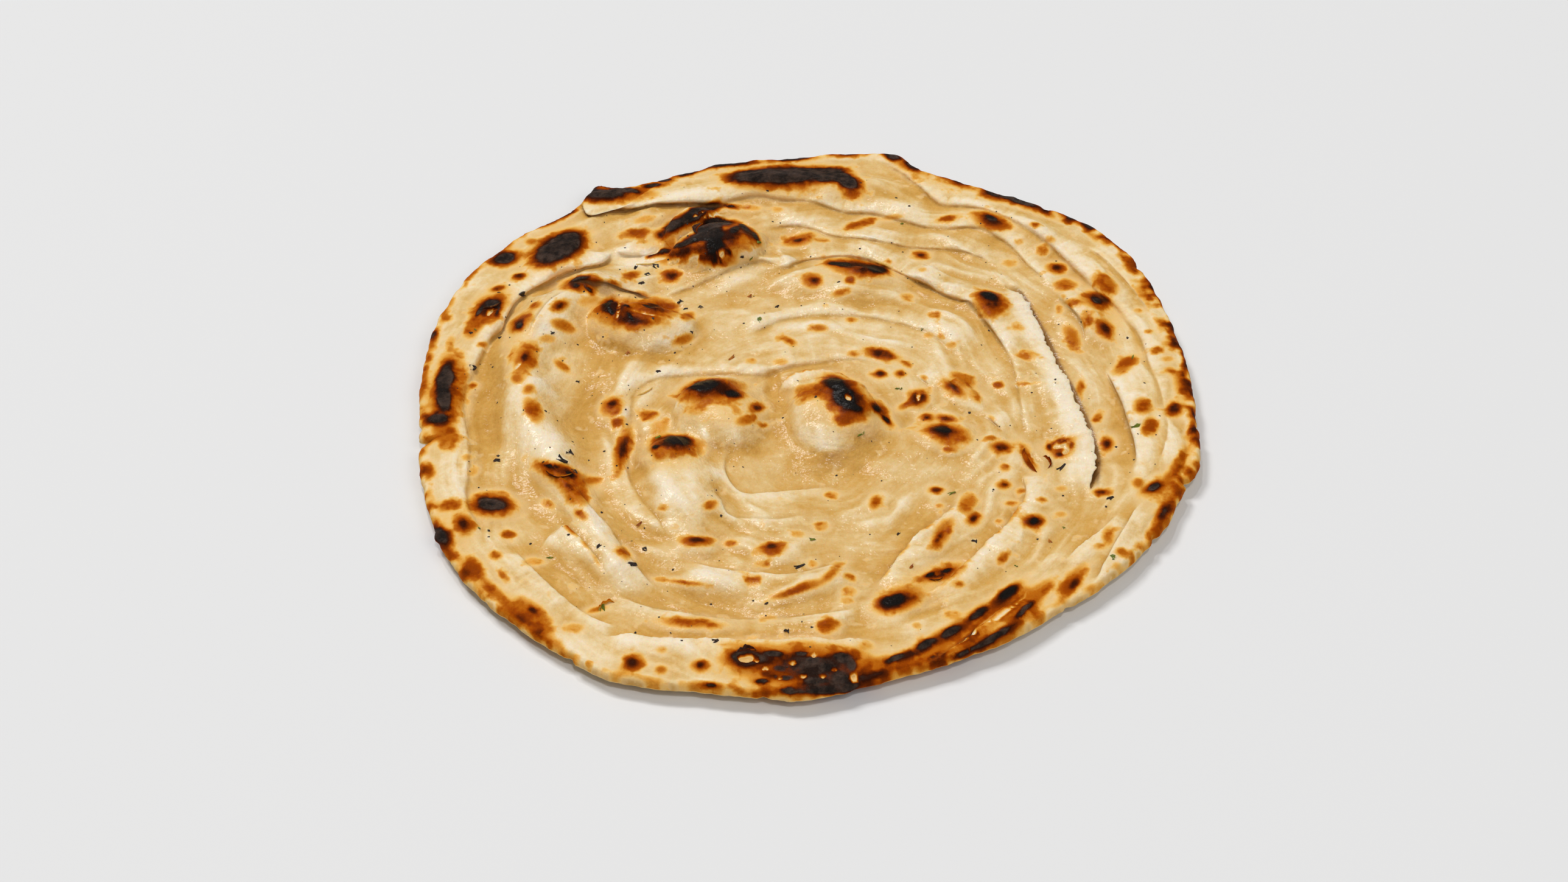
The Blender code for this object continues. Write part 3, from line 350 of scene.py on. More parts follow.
# Dough colour away from the browning: 1 is golden and see-through with oil, -1 is pale and dry; rows in
# valleys also hold painted shade, and rows on ridges and blister fronts painted light
TINTS_LIGHT_AND_SHADE = (
    (-96, 0, 64, 10, 86, 1), (-63, 10, 40, 8, 78, 1), (-67, -5, 20, 8, 90, 0.6), (5, -30, 46, 20, 0, 0.45),
    (68, 8, 44, 12, -84, 0.55), (40, 73, 34, 9, -5, 0.5), (22, 100, 26, 12, 0, 0.5),
    (-20, -94, 60, 8, 0, 0.7), (-50, -60, 30, 12, -60, 0.4), (-15, 46, 50, 10, 0, 0.1),
    (-70, -85, 30, 10, -48, 0.3), (30, -60, 40, 18, 50, 0.35), (-38, -34, 34, 14, 80, -0.15),
    (-80, 10, 74, 18, 84, -0.8), (-106, -38, 30, 8, -80, -0.3), (90, 10, 60, 10, 84, -0.1),
    (-50, 97, 30, 8, 10, -0.3), (-25, 55, 26, 8, 35, -0.7), (-55, 67, 26, 9, 8, -1.5),
    (8, -15, 18, 12, 0, -0.4), (50, 66, 14, 6, -10, -0.3), (6, 34, 40, 5, 0, -0.6),
    (-64, -48, 26, 8, -60, -0.4), (-62, -100, 30, 8, -20, -0.4), (0, 58, 24, 10, 0, 0.2),
    (104, -10, 90, 14, 88, -0.1), (96, 20, 40, 6, 80, -0.5), (-24, -11, 24, 14, 0, 0.1),
    (8, -12, 24, 14, -10, 0.85), (-24, -21, 26, 5, -8, 0.9), (-9, -10, 5, 20, 10, 0.7),
    (9, -25, 32, 5, 5, 0.8), (27, -12, 5, 20, -20, 0.6), (-42, -8, 5, 16, 0, 0.6), (-66, 26, 7, 22, 20, 1),
    (-50, 19, 32, 4, -12, 1.1), (-48, -34, 7, 26, 12, 0.8), (-29, -38, 7, 24, 12, 0.8),
    (-50, 27, 24, 9, -10, -0.9), (-22, 59, 20, 8, 0, -0.6), (-9, 4, 5, 18, 8, 0.4),
    (5, -46, 26, 8, 0, 0.7), (112, 20, 30, 5, 85, 0.5), (34, -20, 40, 10, 30, 0.3),
    (-75, -75, 34, 14, -50, 0.2), (-46, 64, 26, 6, 10, -0.5), (-90, 60, 24, 8, 50, -0.4),
    (-4, 20, 50, 9, 10, 0.3), (24, 44, 40, 8, -20, 0.3),
)

# Loose bits on the bread, in rows like those of the browning
CHAR_FLAKES = (
    (-89, 48.5, 2.6, 1.8, 20), (-102.5, 14.5, 2.4, 1.7, 70), (-50.5, -69, 2.6, 1.5, 10),
    (-72.5, -26, 3.2, 1.9, -30), (-70.5, -23, 2.6, 1.6, 40), (-92, -26.5, 2.2, 1.4),
    (-68.5, -31, 1.7, 1.2), (-45.5, 12.5, 1.4, 1), (-26, -98.5, 2.1, 1.3, 20), (-39.5, 45, 2.2, 1.2, 60),
    (-37.5, 41.5, 1.6, 1), (-33, 42.5, 1.6, 1.1, 30), (-9, 42.5, 1.5, 1, 50), (-2.5, -70, 3.1, 1, 20),
    (-6, -95, 1.6, 1.1), (-60, -61.5, 1.8, 1.2, 45), (-47, -63, 1.6, 1, -20), (89, -42.5, 2.1, 1.3, 30),
    (75.5, -29.5, 3.2, 1.2, 40), (48.5, -60, 1.8, 1.2), (26.5, -57, 1.6, 1, 60), (-50, 58, 2, 1.5),
    (-52, 53.5, 1.8, 1.3, 30), (-78.5, 30, 1.2, 0.9), (-35.5, 30.5, 1.1, 0.8), (-54, 61.5, 2, 1.2, 70),
    (-47.5, 62, 2.4, 1.4, -30), (-104, 30, 1.2, 0.9), (-95, 28, 1.1, 0.8, 20), (-70, 8, 1.2, 0.8),
    (-20, 66, 1.3, 0.9),
)
CRUST_FLAKES = (
    (-22.5, 19, 3.6, 2, 30), (-17.5, 47.5, 3.6, 1.3, 80), (-48.5, -52.5, 3.1, 1, 20),
    (-55, 21, 3.2, 1.6, -20), (30, -70, 2.2, 1.4, 20), (70, -60, 2, 1.3),
)
HERB_BITS = (
    (-14.5, 36.5, 2.6, 1.2, 70), (16.5, -15, 3, 1.1, 55), (1.3, -59, 2.1, 1.2, 20),
    (-74.5, -66.5, 2.3, 1.2, 10), (-58.5, -87, 3, 1.5, 80), (-44.5, -16.5, 1.9, 1.2),
    (28.5, 4.8, 2.4, 1.3, 25), (98.7, -11.5, 2.7, 2, 60), (100.5, 19, 2.1, 0.8, 80),
    (42, -40.5, 3.1, 0.9, 20), (87.7, -66, 2.1, 1.3, 80), (60, -70, 1.2, 0.9), (-15, 73.5, 2.1, 1.2, 30),
    (-17.3, 65.5, 1.6, 0.8, 70), (36, 32, 1, 0.8), (31.3, 83, 1.2, 0.9), (-102.5, 31.5, 0.9, 0.7),
    (-95.5, -54.5, 1, 0.8), (74.5, -54.3, 1.1, 0.9),
)

# Skins of burst blisters, curled up: across, up, length, width, turn, roll in radians, toast
TORN_SKINS = (
    (66.8, -26, 11, 3.4, 105, 2.6, 0.55), (70.6, -27.5, 6, 2.6, -80, 2.2, 0.65),
    (-98.6, 43.6, 6, 2.4, 200, 1.8, 0.8), (-33.6, 80, 7, 2, 80, 1, 0.95),
    (-50, 64.5, 9, 2.6, 205, 1.3, 0.02), (-57, -86, 6, 2.4, 30, 2.2, 0.4),
    (-73, -31, 8, 2, 175, 1.6, 0.75), (-49.5, 4, 6, 1.6, 215, 2.4, 0.02),
    (-17.5, -103, 6, 2.2, 10, 1.6, 0.9), (36.4, -74, 5, 1.6, 200, 1.5, 0.8),
    (-88, 15.5, 7, 1.5, 250, 1.2, 0.35),
)


# ------------------------------------------------------------------ small sums
def smooth_step(t):
    """0 up to t = 0, 1 from t = 1, and a smooth rise between."""
    t = np.clip(t, 0, 1)
    return t * t * (3 - 2 * t)


def waves(x, y, seed):
    """Smooth gradient noise over a plane, about -1 to 1, with a cell of 1."""
    turns = np.random.default_rng(seed).uniform(0, 2 * math.pi, 4096)
    column, row = np.floor(x).astype(int), np.floor(y).astype(int)
    fx, fy = x - column, y - row
    sx, sy = (f * f * f * (f * (f * 6 - 15) + 10) for f in (fx, fy))
    total = 0.0
    for i in (0, 1):
        for j in (0, 1):
            turn = turns[((column + i) * 73 + (row + j) * 1931) % 4096]
            slope = np.cos(turn) * (fx - i) + np.sin(turn) * (fy - j)
            total = total + slope * (sx if i else 1 - sx) * (sy if j else 1 - sy)
    return total * 1.6


def ripples(x, y, layers):
    """Waves of several sizes together; each layer is cell, depth and seed."""
    return sum(depth * waves(x / cell, y / cell, seed) for cell, depth, seed in layers)


def smooth_line(line, step):
    """Points at an even step along a smooth curve through the given ones."""
    line = np.array(line, float)
    ends = np.vstack([2 * line[0] - line[1], line, 2 * line[-1] - line[-2]])
    curve = []
    for p0, p1, p2, p3 in zip(ends[:-3], ends[1:-2], ends[2:-1], ends[3:]):
        for t in np.arange(0, 1, 0.1):
            curve.append(0.5 * (2 * p1 + (p2 - p0) * t + (2 * p0 - 5 * p1 + 4 * p2 - p3) * t * t
                                + (3 * p1 - p0 - 3 * p2 + p3) * t ** 3))
    curve = np.array(curve + [line[-1]])
    run = np.concatenate([[0], np.cumsum(np.hypot(*np.diff(curve, axis=0).T))])
    at = np.linspace(0, run[-1], max(3, int(run[-1] / step) + 1))
    return np.stack([np.interp(at, run, curve[:, axis]) for axis in (0, 1)], axis=1)


def outward_normals(line):
    """The unit normal at each point of a line, on the side away from the bread's middle."""
    forward = np.gradient(line, axis=0)
    normal = np.stack([-forward[:, 1], forward[:, 0]], axis=1)
    normal /= np.hypot(normal[:, 0], normal[:, 1])[:, None]
    return normal if (normal * line).sum() > 0 else -normal


def line_field(points, line, reach):
    """Signed distance to a smooth line (positive outside), how far along it, and the normal there."""
    far = np.full(len(points), 1e3)
    along, normal = np.zeros(len(points)), np.zeros((len(points), 2))
    near = ((points > line.min(0) - reach) & (points < line.max(0) + reach)).all(1)
    p = points[near]
    best, index = np.full(len(p), 1e6), np.zeros(len(p), int)
    for i, q in enumerate(line):
        square = ((p - q) ** 2).sum(1)
        nearer = square < best
        best[nearer], index[nearer] = square[nearer], i
    n = outward_normals(line)[index]
    offset = p - line[index]
    across = (offset * n).sum(1)
    beside = offset[:, 0] * n[:, 1] - offset[:, 1] * n[:, 0]
    step = np.hypot(*(line[1] - line[0]))
    past_end = ((index == 0) | (index == len(line) - 1)) & (np.abs(beside) > step)
    far[near] = np.where(past_end, np.sqrt(best) * np.sign(across + 1e-9), across)
    along[near], normal[near] = index * step, n
    return far, along, normal


# ------------------------------------------------------------------ outline
OUTLINE_BINS = 150


def vertex_places(mesh):
    places = np.zeros(len(mesh.vertices) * 3)
    mesh.vertices.foreach_get("co", places)
    return places.reshape(-1, 3)


def polar(points):
    """Clock angle in degrees and radius."""
    x, y = points.T
    return np.degrees(np.arctan2(x, y)) % 360, np.hypot(x, y)


def on_clock(radius, angle):
    turn = np.radians(angle)
    return np.stack([radius * np.sin(turn), radius * np.cos(turn)], axis=1)


def cad_outline():
    """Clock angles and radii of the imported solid's edge, in degrees and mm."""
    angle, radius = polar(vertex_places(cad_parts[NODE].data)[:, :2] / MM)
    bins = (angle / (360 / OUTLINE_BINS)).astype(int)
    best = [np.flatnonzero(bins == k)[radius[bins == k].argmax()] for k in range(OUTLINE_BINS)]
    order = np.argsort(angle[best])
    return angle[best][order], radius[best][order]


OUTLINE = cad_outline()

# Small tears and lumps of the edge: clock angle, half width in degrees, mm outwards
EDGE_NICKS = (
    (15.5, 2, 1.2), (326, 2.2, 1.5), (107.5, 1, -1.8), (212.5, 1, -1.2), (120, 1.2, -0.8), (35, 1.5, 0.8),
    (41, 1.2, -0.8), (96, 1, -0.6), (264, 1.4, -1), (242, 1.2, 0.8), (139, 1, -0.8), (60, 1.2, -0.8),
    (175, 1.4, 0.6), (186, 1, -0.7), (352, 1.6, 0.7),
)


def outline_radius(angle):
    radius = np.interp(angle, *OUTLINE, period=360)
    turn = np.radians(angle)
    for cell, depth, seed in ((9.0, 0.5, 1), (3.5, 0.28, 2), (1.4, 0.12, 3)):
        scale = EDGE_RADIUS / cell
        radius = radius + depth * waves(np.cos(turn) * scale + 50, np.sin(turn) * scale, seed)
    for at, half, out in EDGE_NICKS:
        radius = radius + out * smooth_step(1 - np.abs((angle - at + 180) % 360 - 180) / half)
    return radius - 0.3


def ring(inset, count):
    angle = np.arange(count) * 360 / count
    return on_clock(outline_radius(angle) - inset, angle)


# ------------------------------------------------------------------ relief
def in_ellipse(x, y, across, up, long, short, turn):
    """How far each place is from an ellipse's centre, 1 on its edge."""
    turn = math.radians(turn)
    east, north = x - across, y - up
    return np.hypot((east * math.cos(turn) + north * math.sin(turn)) / long,
                    (north * math.cos(turn) - east * math.sin(turn)) / short)


def broad_relief(x, y):
    """Blisters, hollows and gathered ridges, in mm above the even dough."""
    relief = np.zeros(len(x))
    stray_x, stray_y = (ripples(x, y, ((11, 1.9, seed), (5, 0.3, seed + 1))) for seed in (21, 23))
    for s in SWELLS:
        q = in_ellipse(x + stray_x, y + stray_y, *s[:5])
        steep = np.clip(1 - q ** 2.4, 0, 1) ** 0.85
        relief += s.height * (steep + s.soft * (smooth_step(1.25 - 0.9 * q) - steep))
    points = np.stack([x, y], axis=1)
    for c in CRESTS:
        distance, _, _ = line_field(points, smooth_line(c.line, 2.0), 3 * c.half_width)
        relief += c.height * np.exp(-((distance / c.half_width) ** 2))
    return relief


def dough_level(points):
    """Heights of the even dough's upper and lower skin, the distance in from the edge, and the rim."""
    angle, radius = polar(points)
    outer = outline_radius(angle)
    share = radius / outer
    lift = RIM_LIFT * smooth_step((share - FLAT_SHARE) / (1 - FLAT_SHARE)) ** 1.5
    rim = smooth_step((share - RIM_SHARE) / (1 - RIM_SHARE))
    thick = CORE_THICKNESS + (RIM_THICKNESS - CORE_THICKNESS) * rim
    return lift + thick, lift, outer - radius, rim


def seen_up(y, z):
    """Where a place at height z is seen, in mm up the tables' plan."""
    return y + (z - SEEN_LEVEL) * LEAN


def seated_folds():
    """The folds with their lines moved from where they are seen down to where they lie."""
    seated = []
    for fold in FOLDS:
        line = smooth_line(fold.line, 0.8)
        true = line.copy()
        for _ in range(4):
            level = dough_level(true)[0] + broad_relief(*true.T) + fold.rise * 0.8
            true[:, 1] = line[:, 1] - (level - SEEN_LEVEL) * LEAN
        seated.append(fold._replace(line=smooth_line(true[::3], 0.8)))
    return seated


SEATED = seated_folds()

# How a sheet's edge is rolled over the next: distance from the fold's line, sideways move as a
# share of the overhang (outwards is positive), and height as a share of the rise
EDGE_AT = (-9.0, -5.0, -3.0, -2.0, -1.1, -0.4, 0.0, 0.4, 0.8, 1.2, 1.7, 2.6, 3.8, 6.0, 9.5, 14.0)
EDGE_MOVE = (0, 0, 0, 0.05, 0.35, 1.0, 1.1, 0.3, -0.75, -1.2, -1.3, -1.0, -0.55, -0.1, 0, 0)
EDGE_RISE = (0, -0.06, -0.1, -0.12, -0.14, -0.2, -0.08, 0.25, 0.5, 0.78, 0.96, 1.05, 1.04, 0.86,
             0.42, 0)
EDGE_GAP = (0, 0, 0, -0.02, -0.3, -1.0, -1.0, -0.4, 0, 0, 0, 0, 0, 0, 0, 0)
FOLD_ROWS = (-2.0, -1.1, -0.4, 0.0, 0.4, 0.8, 1.2, 1.7, 2.6, 3.7)
FOLD_TAPER = 8.0
FOLD_REACH = 15


def apply_folds(points):
    """Sideways moves, heights, edge browning, painted shade in the creases, and the pale lips that the
    folds give, partly painted light, with painted shade beneath them.
    """
    move = np.zeros((len(points), 2))
    height, crust, crease_shade, lip_pale_and_shade = np.zeros((4, len(points)))
    for k, fold in enumerate(SEATED):
        distance, along, normal = line_field(points, fold.line, FOLD_REACH)
        near = np.abs(distance) < FOLD_REACH
        d, s = distance[near] * fold.side, along[near]

        def beads(cell, seed):
            return waves(s / cell, s * 0, seed + k)

        length = (len(fold.line) - 1) * np.hypot(*(fold.line[1] - fold.line[0]))
        ends = smooth_step(np.minimum(s, length - s) / FOLD_TAPER)
        swing = 1 + 0.4 * beads(9, 40) + 0.3 * beads(2.5, 80) + 0.25 * beads(1.1, 160)
        amount = ends * np.clip(swing, 0.3, 1.7)
        sideways = np.interp(d, EDGE_AT, EDGE_MOVE) * fold.reach * amount * fold.side
        move[near] += sideways[:, None] * normal[near]
        height[near] += 1.35 * np.interp(d, EDGE_AT, EDGE_RISE) * fold.rise * (0.4 * ends + 0.6 * amount)
        height[near] += np.interp(d, EDGE_AT, EDGE_GAP) * fold.gap * ends
        toasted = fold.crust * ends * np.exp(-(((d - 1.3) / 1.0) ** 2))
        crust[near] = np.maximum(crust[near], toasted * smooth_step(0.6 + beads(6, 120)))
        # painted shade in the crease under each fold's edge, wider and fuller where the gap is deeper
        wide = 0.6 * fold.gap
        shade_band = np.interp(d, (-1.6 - wide, -0.8 - wide, -0.3 - wide, 0.3, 0.7), (0, 0.25, 1, 1, 0))
        crease_shade[near] = np.maximum(crease_shade[near], ends * min(1, 0.42 + 1.5 * fold.gap) * shade_band)
        # lips of the folds: paler, partly their own thin dough and partly painted light; beneath the edge
        # the value goes below 0 as painted shade
        lip_pale_and_shade[near] = np.maximum(lip_pale_and_shade[near], ends * np.interp(d, (0.3, 0.7, 1.3, 2.2), (0, 1, 0.7, 0)))
        lip_pale_and_shade[near] -= 0.9 * ends * min(1, fold.rise) * np.interp(d, (-5, -1.3, -0.4, 0.2), (0, 1, 1, 0))
    return move, height, crust, crease_shade, lip_pale_and_shade


def from_middle(x, y):
    """Distance from the middle of the coil of dough, wandering as its layers do."""
    return np.hypot(x - MIDDLE[0], y - MIDDLE[1]) + 5 * waves(x / 24, y / 24, 9)


def wrinkles(x, y):
    """Small relief of the stretched dough: soft lumps, and creases that run round the bread."""
    lumps = ripples(x, y, ((15, 0.42, 5), (8, 0.20, 6), (4, 0.06, 7), (2.2, 0.03, 8)))
    out = from_middle(x, y)
    turn = np.arctan2(y - MIDDLE[1], x - MIDDLE[0])
    right = smooth_step(0.5 + 1.5 * np.cos(turn))
    creases = 0.0
    for cell, depth, seed in ((8.0, 0.85, 13), (4.6, 0.5, 10), (2.6, 0.25, 11)):
        line = (right * waves(out / cell, turn * 60 / (cell * 7), seed)
                + (1 - right) * waves(out / cell, turn % (2 * math.pi) * 60 / (cell * 7), seed + 40))
        creases = creases + depth * (1 - 2 * np.abs(line))
    mask = 0.15 + 0.85 * smooth_step(0.5 + 0.9 * waves(x / 20, y / 20, 12))
    calm = 1 - 0.75 * smooth_step(1.6 - in_ellipse(x, y, -80, 8, 16, 42, 4))
    return lumps + creases * mask * calm * (0.35 + 0.65 * smooth_step((out - 20) / 30))


# ------------------------------------------------------------------ browning
FRECKLE_MOST = 12


def spots(x, y, rows, edge, seed, grown=1.0):
    """Browning of a list of spots together: hottest inside, a share at the edge, then a fading glow."""
    total = np.zeros(len(x))
    warp_x, warp_y = (ripples(x, y, ((4.6, 0.8, seed + k), (1.8, 0.28, seed + k + 1))) for k in (0, 2))
    for spot in (Spot(*row) for row in rows):
        half_long, half_wide = spot.length / 2, spot.width / 2
        small = min(half_long, half_wide)
        reach = max(half_long, half_wide) + 9
        near = (np.abs(x - spot.x) < reach) & (np.abs(y - spot.y) < reach)
        wander = min(1.0, small / 3.5)
        q = in_ellipse(x[near] + warp_x[near] * wander, y[near] + warp_y[near] * wander,
                       spot.x, spot.y, half_long * grown, half_wide * grown, spot.turn)
        beyond = np.maximum(q - 1, 0) * small
        inside = 1 - (1 - edge) * np.clip(q, 0, 1) ** (2 + 2 * edge)
        rim = edge * (0.74 * np.exp(-beyond / (0.65 + 0.07 * small)) + 0.26 * np.exp(-beyond / 2.0))
        heat = 0.92 + 0.08 * min(1.0, small / 3.0)
        total[near] += (heat * np.where(q < 1, inside, rim) * smooth_step((8 - beyond) / 4)) ** 3
    return np.minimum(total, 1) ** (1 / 3)


def browning(x, y):
    """Toast from 0, raw cream, to 1, black; and how bare a torn place is."""
    glows = [row for row in GOLDEN if row[2] > FRECKLE_MOST]
    freckles = [row for row in GOLDEN if row[2] <= FRECKLE_MOST]
    toast = sum((heat * spots(x, y, rows, edge, seed, grown)) ** 4 for heat, rows, edge, seed, grown in (
        (0.17, glows, 0.5, 200, 1.0), (0.30, freckles, 0.5, 205, 1.0),
        (0.45, BROWNED, 0.58, 210, 1.06), (0.68, DARKENED, 0.48, 215, 1.1),
        (0.60, CHARRED, 0.5, 218, 1.0), (0.90, SCORCHED, 0.5, 220, 1.06),
    )) ** 0.25
    bare = smooth_step(2 * spots(x, y, BARE, 0.5, 230) - 0.5)
    return toast * (1 - bare), bare


def around(x, y, values, spread):
    """The mean of values over the dough within about spread mm of each place."""
    half = 128
    index = (y + half).astype(int) * 2 * half + (x + half).astype(int)
    steps = np.arange(-int(3 * spread), int(3 * spread) + 1)
    weights = np.exp(-0.5 * (steps / spread) ** 2)

    def blurred(amounts):
        grid = np.bincount(index, amounts, minlength=4 * half * half).reshape(2 * half, -1)
        for axis in (0, 1):
            grid = np.apply_along_axis(np.convolve, axis, grid, weights, "same")
        return grid

    mean = blurred(values) / np.maximum(blurred(None), 1e-6)
    u, v = x + half - 0.5, y + half - 0.5
    column, row = np.floor(u).astype(int), np.floor(v).astype(int)
    u, v = u - column, v - row
    return ((1 - v) * ((1 - u) * mean[row, column] + u * mean[row, column + 1])
            + v * ((1 - u) * mean[row + 1, column] + u * mean[row + 1, column + 1]))


def dough_tint_and_shade(x, y, relief):
    # relief holds the painted shade of hollows and painted light of crests; the rows add oil, dryness, and
    # painted light and shade
    tint_and_shade = relief + 0.3 * smooth_step((np.hypot(x, y) - 40) / 30) - 0.1
    for across, up, length, width, turn, amount in TINTS_LIGHT_AND_SHADE:
        tint_and_shade = tint_and_shade + amount * smooth_step(1.5 - in_ellipse(x, y, across, up, length / 2, width / 2, turn))
    return tint_and_shade


# ------------------------------------------------------------------ the dough's mesh
PLAIN_SPACING = 1.1
FINE_SPACING = 0.56
FINE_FROM_TOAST = 0.16
RIM_COUNT = 880
RIM_INSETS = (0.12, 0.45, 0.95, 1.6, 2.5)
UNDER_INSETS = (0.15, 0.5, 1.0, 1.7)
UNDER_COUNT = 220
LEAST_GAP = 0.36
LAYOUT_REACH = 130
TOP_LAYOUT = ((0.415, 0.585), 0.41)
UNDER_LAYOUT = ((0.84, 0.16), 0.155)


def lattice(spacing, most_share):
    row_gap = spacing * math.sqrt(0.75)
    counts = (int(FIELD_REACH / gap) for gap in (row_gap, spacing))
    rows, columns = (np.arange(-count, count + 1) for count in counts)
    row, column = np.meshgrid(rows, columns, indexing="ij")
    points = np.stack([spacing * (column + 0.5 * (row % 2)), row_gap * row], axis=-1).reshape(-1, 2)
    angle, radius = polar(points)
    return points[radius < outline_radius(angle) * most_share]


def fold_points():
    points = np.vstack([fold.line + outward_normals(fold.line) * fold.side * d
                        for fold in SEATED for d in FOLD_ROWS])
    angle, radius = polar(points)
    return points[radius < outline_radius(angle) - 3.0]


def thinned(points, gap):
    """The points without any that share a small cell with an earlier one."""
    _, first = np.unique(np.round(points / gap).astype(int), axis=0, return_index=True)
    return points[np.sort(first)]


def net_over(rim, inner):
    """A net of triangles over the points inside a rim."""
    points = [Vector(p) for p in np.vstack([rim, inner]).tolist()]
    made = geometry.delaunay_2d_cdt(points, [], [list(range(len(rim)))], 1, 1e-6)
    return np.array([tuple(p) for p in made[0]]), np.array(made[2])


def top_net():
    field = []
    for spacing, fine in ((PLAIN_SPACING, False), (FINE_SPACING, True)):
        p = lattice(spacing, 0.975)
        toast, _ = browning(p[:, 0], seen_up(p[:, 1], dough_level(p)[0] + broad_relief(*p.T)))
        field.append(p[(toast >= FINE_FROM_TOAST) == fine])
    field = np.vstack(field)
    clear = np.ones(len(field), bool)
    for fold in SEATED:
        d = line_field(field, fold.line, 6)[0] * fold.side
        clear &= ~((d > -2.5) & (d < 4.2))
    insets = [ring(inset, RIM_COUNT) for inset in RIM_INSETS]
    inner = thinned(np.vstack([*insets, fold_points(), field[clear]]), LEAST_GAP)
    return net_over(ring(0, RIM_COUNT), inner)


def rounded_edge(z, upper, lower, inset):
    """Heights drawn in towards the edge's middle, which makes the edge round."""
    middle = lower + 0.45 * (upper - lower)
    t = np.clip(inset / EDGE_ROUNDING, 0, 1)
    return middle + (z - middle) * np.sqrt(1 - (1 - t) ** 2)


def top_surface(points):
    """Places of the upper skin in mm, and what its material reads there."""
    x, y = points.T
    upper, lower, inset, rim = dough_level(points)
    move, height, crust, crease_shade, lip_pale_and_shade = apply_folds(points)
    z = upper + (broad_relief(x, y) + height) * (1 - 0.5 * rim) + wrinkles(x, y) * (1 - 0.3 * rim)
    z = np.minimum(rounded_edge(z, upper, lower, inset), TOP_HEIGHT)
    fade = smooth_step(inset / 4)
    x, y = x + move[:, 0] * fade, y + move[:, 1] * fade

    seen_y = seen_up(y, z)
    toast, bare = browning(x, seen_y)
    z = z + (0.4 * toast - 0.7 * bare) * smooth_step(inset / 3) * (z < TOP_HEIGHT - 0.5)
    # hollows drawn more golden and crests paler: partly oil gathering low, partly painted shade in the
    # hollows and painted light on the crests
    hollow, dip = (around(x, y, z, spread) - z for spread in (5.0, 2.2))
    tint_and_shade = dough_tint_and_shade(x, seen_y, 0.5 * np.tanh(hollow) + 1.0 * np.tanh(1.3 * dip))
    # bare crumb and the fold lips paler; the painted shade under each lip makes the dough there more
    # golden and darker
    tint_and_shade = 1.2 * np.tanh((tint_and_shade - 0.5 * bare - 0.35 * lip_pale_and_shade) / 1.2)

    clock = np.degrees(np.arctan2(x, y)) % 360
    at, heats, widths = zip(*RIM_TOAST)
    heat, width = (np.interp(clock, at, values, period=360) for values in (heats, widths))
    patchy = smooth_step(0.62 + 0.9 * waves(x / 9, y / 9, 30) + 0.5 * waves(x / 3.2, y / 3.2, 31))
    edge_heat = heat * smooth_step(1.25 - inset / width) * patchy
    looks = {
        "toast": 1 - (1 - np.maximum(toast, crust)) * (1 - edge_heat),
        "tint_and_shade": tint_and_shade,
        "crease_shade": crease_shade,
        "rim": smooth_step((34 - inset) / 24),
        "out": from_middle(x, y) * MM,
    }
    return np.stack([x, y, z], axis=1), looks


def under_surface(points):
    """Places of the lower skin in mm, and what its material reads there."""
    upper, lower, inset, _ = dough_level(points)
    z = rounded_edge(lower + 0.25, upper, lower, inset)
    toast, _ = browning(points[:, 0], seen_up(points[:, 1], z))
    looks = {"toast": toast, "tint_and_shade": 0 * toast, "crease_shade": 0 * toast,
             "rim": smooth_step(1 - inset / 9), "out": from_middle(*points.T) * MM}
    return np.column_stack([points, z]), looks


def flat_layout(points, centre, half):
    """Where the net's points lie on the texture, the edge spread out a little."""
    angle, radius = polar(points)
    inset = outline_radius(angle) - radius
    spread = radius + 1.5 * np.clip(1 - inset / 3, 0, 1) ** 2
    return centre + on_clock(spread, angle) * (half / LAYOUT_REACH)


def mesh_from(name, places, triangles, looks, layout=None):
    mesh = bpy.data.meshes.new(name)
    mesh.vertices.add(len(places))
    mesh.vertices.foreach_set("co", (places * MM).ravel())
    mesh.loops.add(triangles.size)
    mesh.loops.foreach_set("vertex_index", triangles.ravel())
    mesh.polygons.add(len(triangles))
    mesh.polygons.foreach_set("loop_start", np.arange(0, triangles.size, 3))
    for key, values in looks.items():
        mesh.attributes.new(key, "FLOAT", "POINT").data.foreach_set("value", values.astype(np.float32))
    if layout is not None:
        mesh.uv_layers.new(name="OFBake").data.foreach_set("uv", layout.astype(np.float32).ravel())
    mesh.update(calc_edges=True)
    mesh.validate()
    mesh.shade_smooth()
    piece = bpy.data.objects.new(name, mesh)
    bpy.context.scene.collection.objects.link(piece)
    return piece


def build_bread():
    """The upper and the lower skin, joined at the rim's points."""
    points, triangles = top_net()
    places, looks = top_surface(points)
    under = ([ring(inset, RIM_COUNT) for inset in UNDER_INSETS]
             + [ring(inset, UNDER_COUNT) for inset in (3.0, 6.0)] + [lattice(9, 0.93)])
    low_points, low_triangles = net_over(ring(0, RIM_COUNT), np.vstack(under))
    low_triangles = low_triangles[:, ::-1]
    low_places, low_looks = under_surface(low_points)
    joined = np.where(low_triangles < RIM_COUNT, low_triangles, low_triangles + len(places) - RIM_COUNT)
    layout = np.vstack([flat_layout(points, *TOP_LAYOUT)[triangles].reshape(-1, 2),
                        flat_layout(low_points, *UNDER_LAYOUT)[low_triangles].reshape(-1, 2)])
    return mesh_from("bread", np.vstack([places, low_places[RIM_COUNT:]]), np.vstack([triangles, joined]),
                     {k: np.concatenate([looks[k], low_looks[k][RIM_COUNT:]]) for k in looks}, layout)


# ------------------------------------------------------------------ loose pieces
CAST_HEIGHT = 60
SPECK_SQUARE = 116
SPECK_RADIUS = 110
SKIN_THICKNESS = 0.32


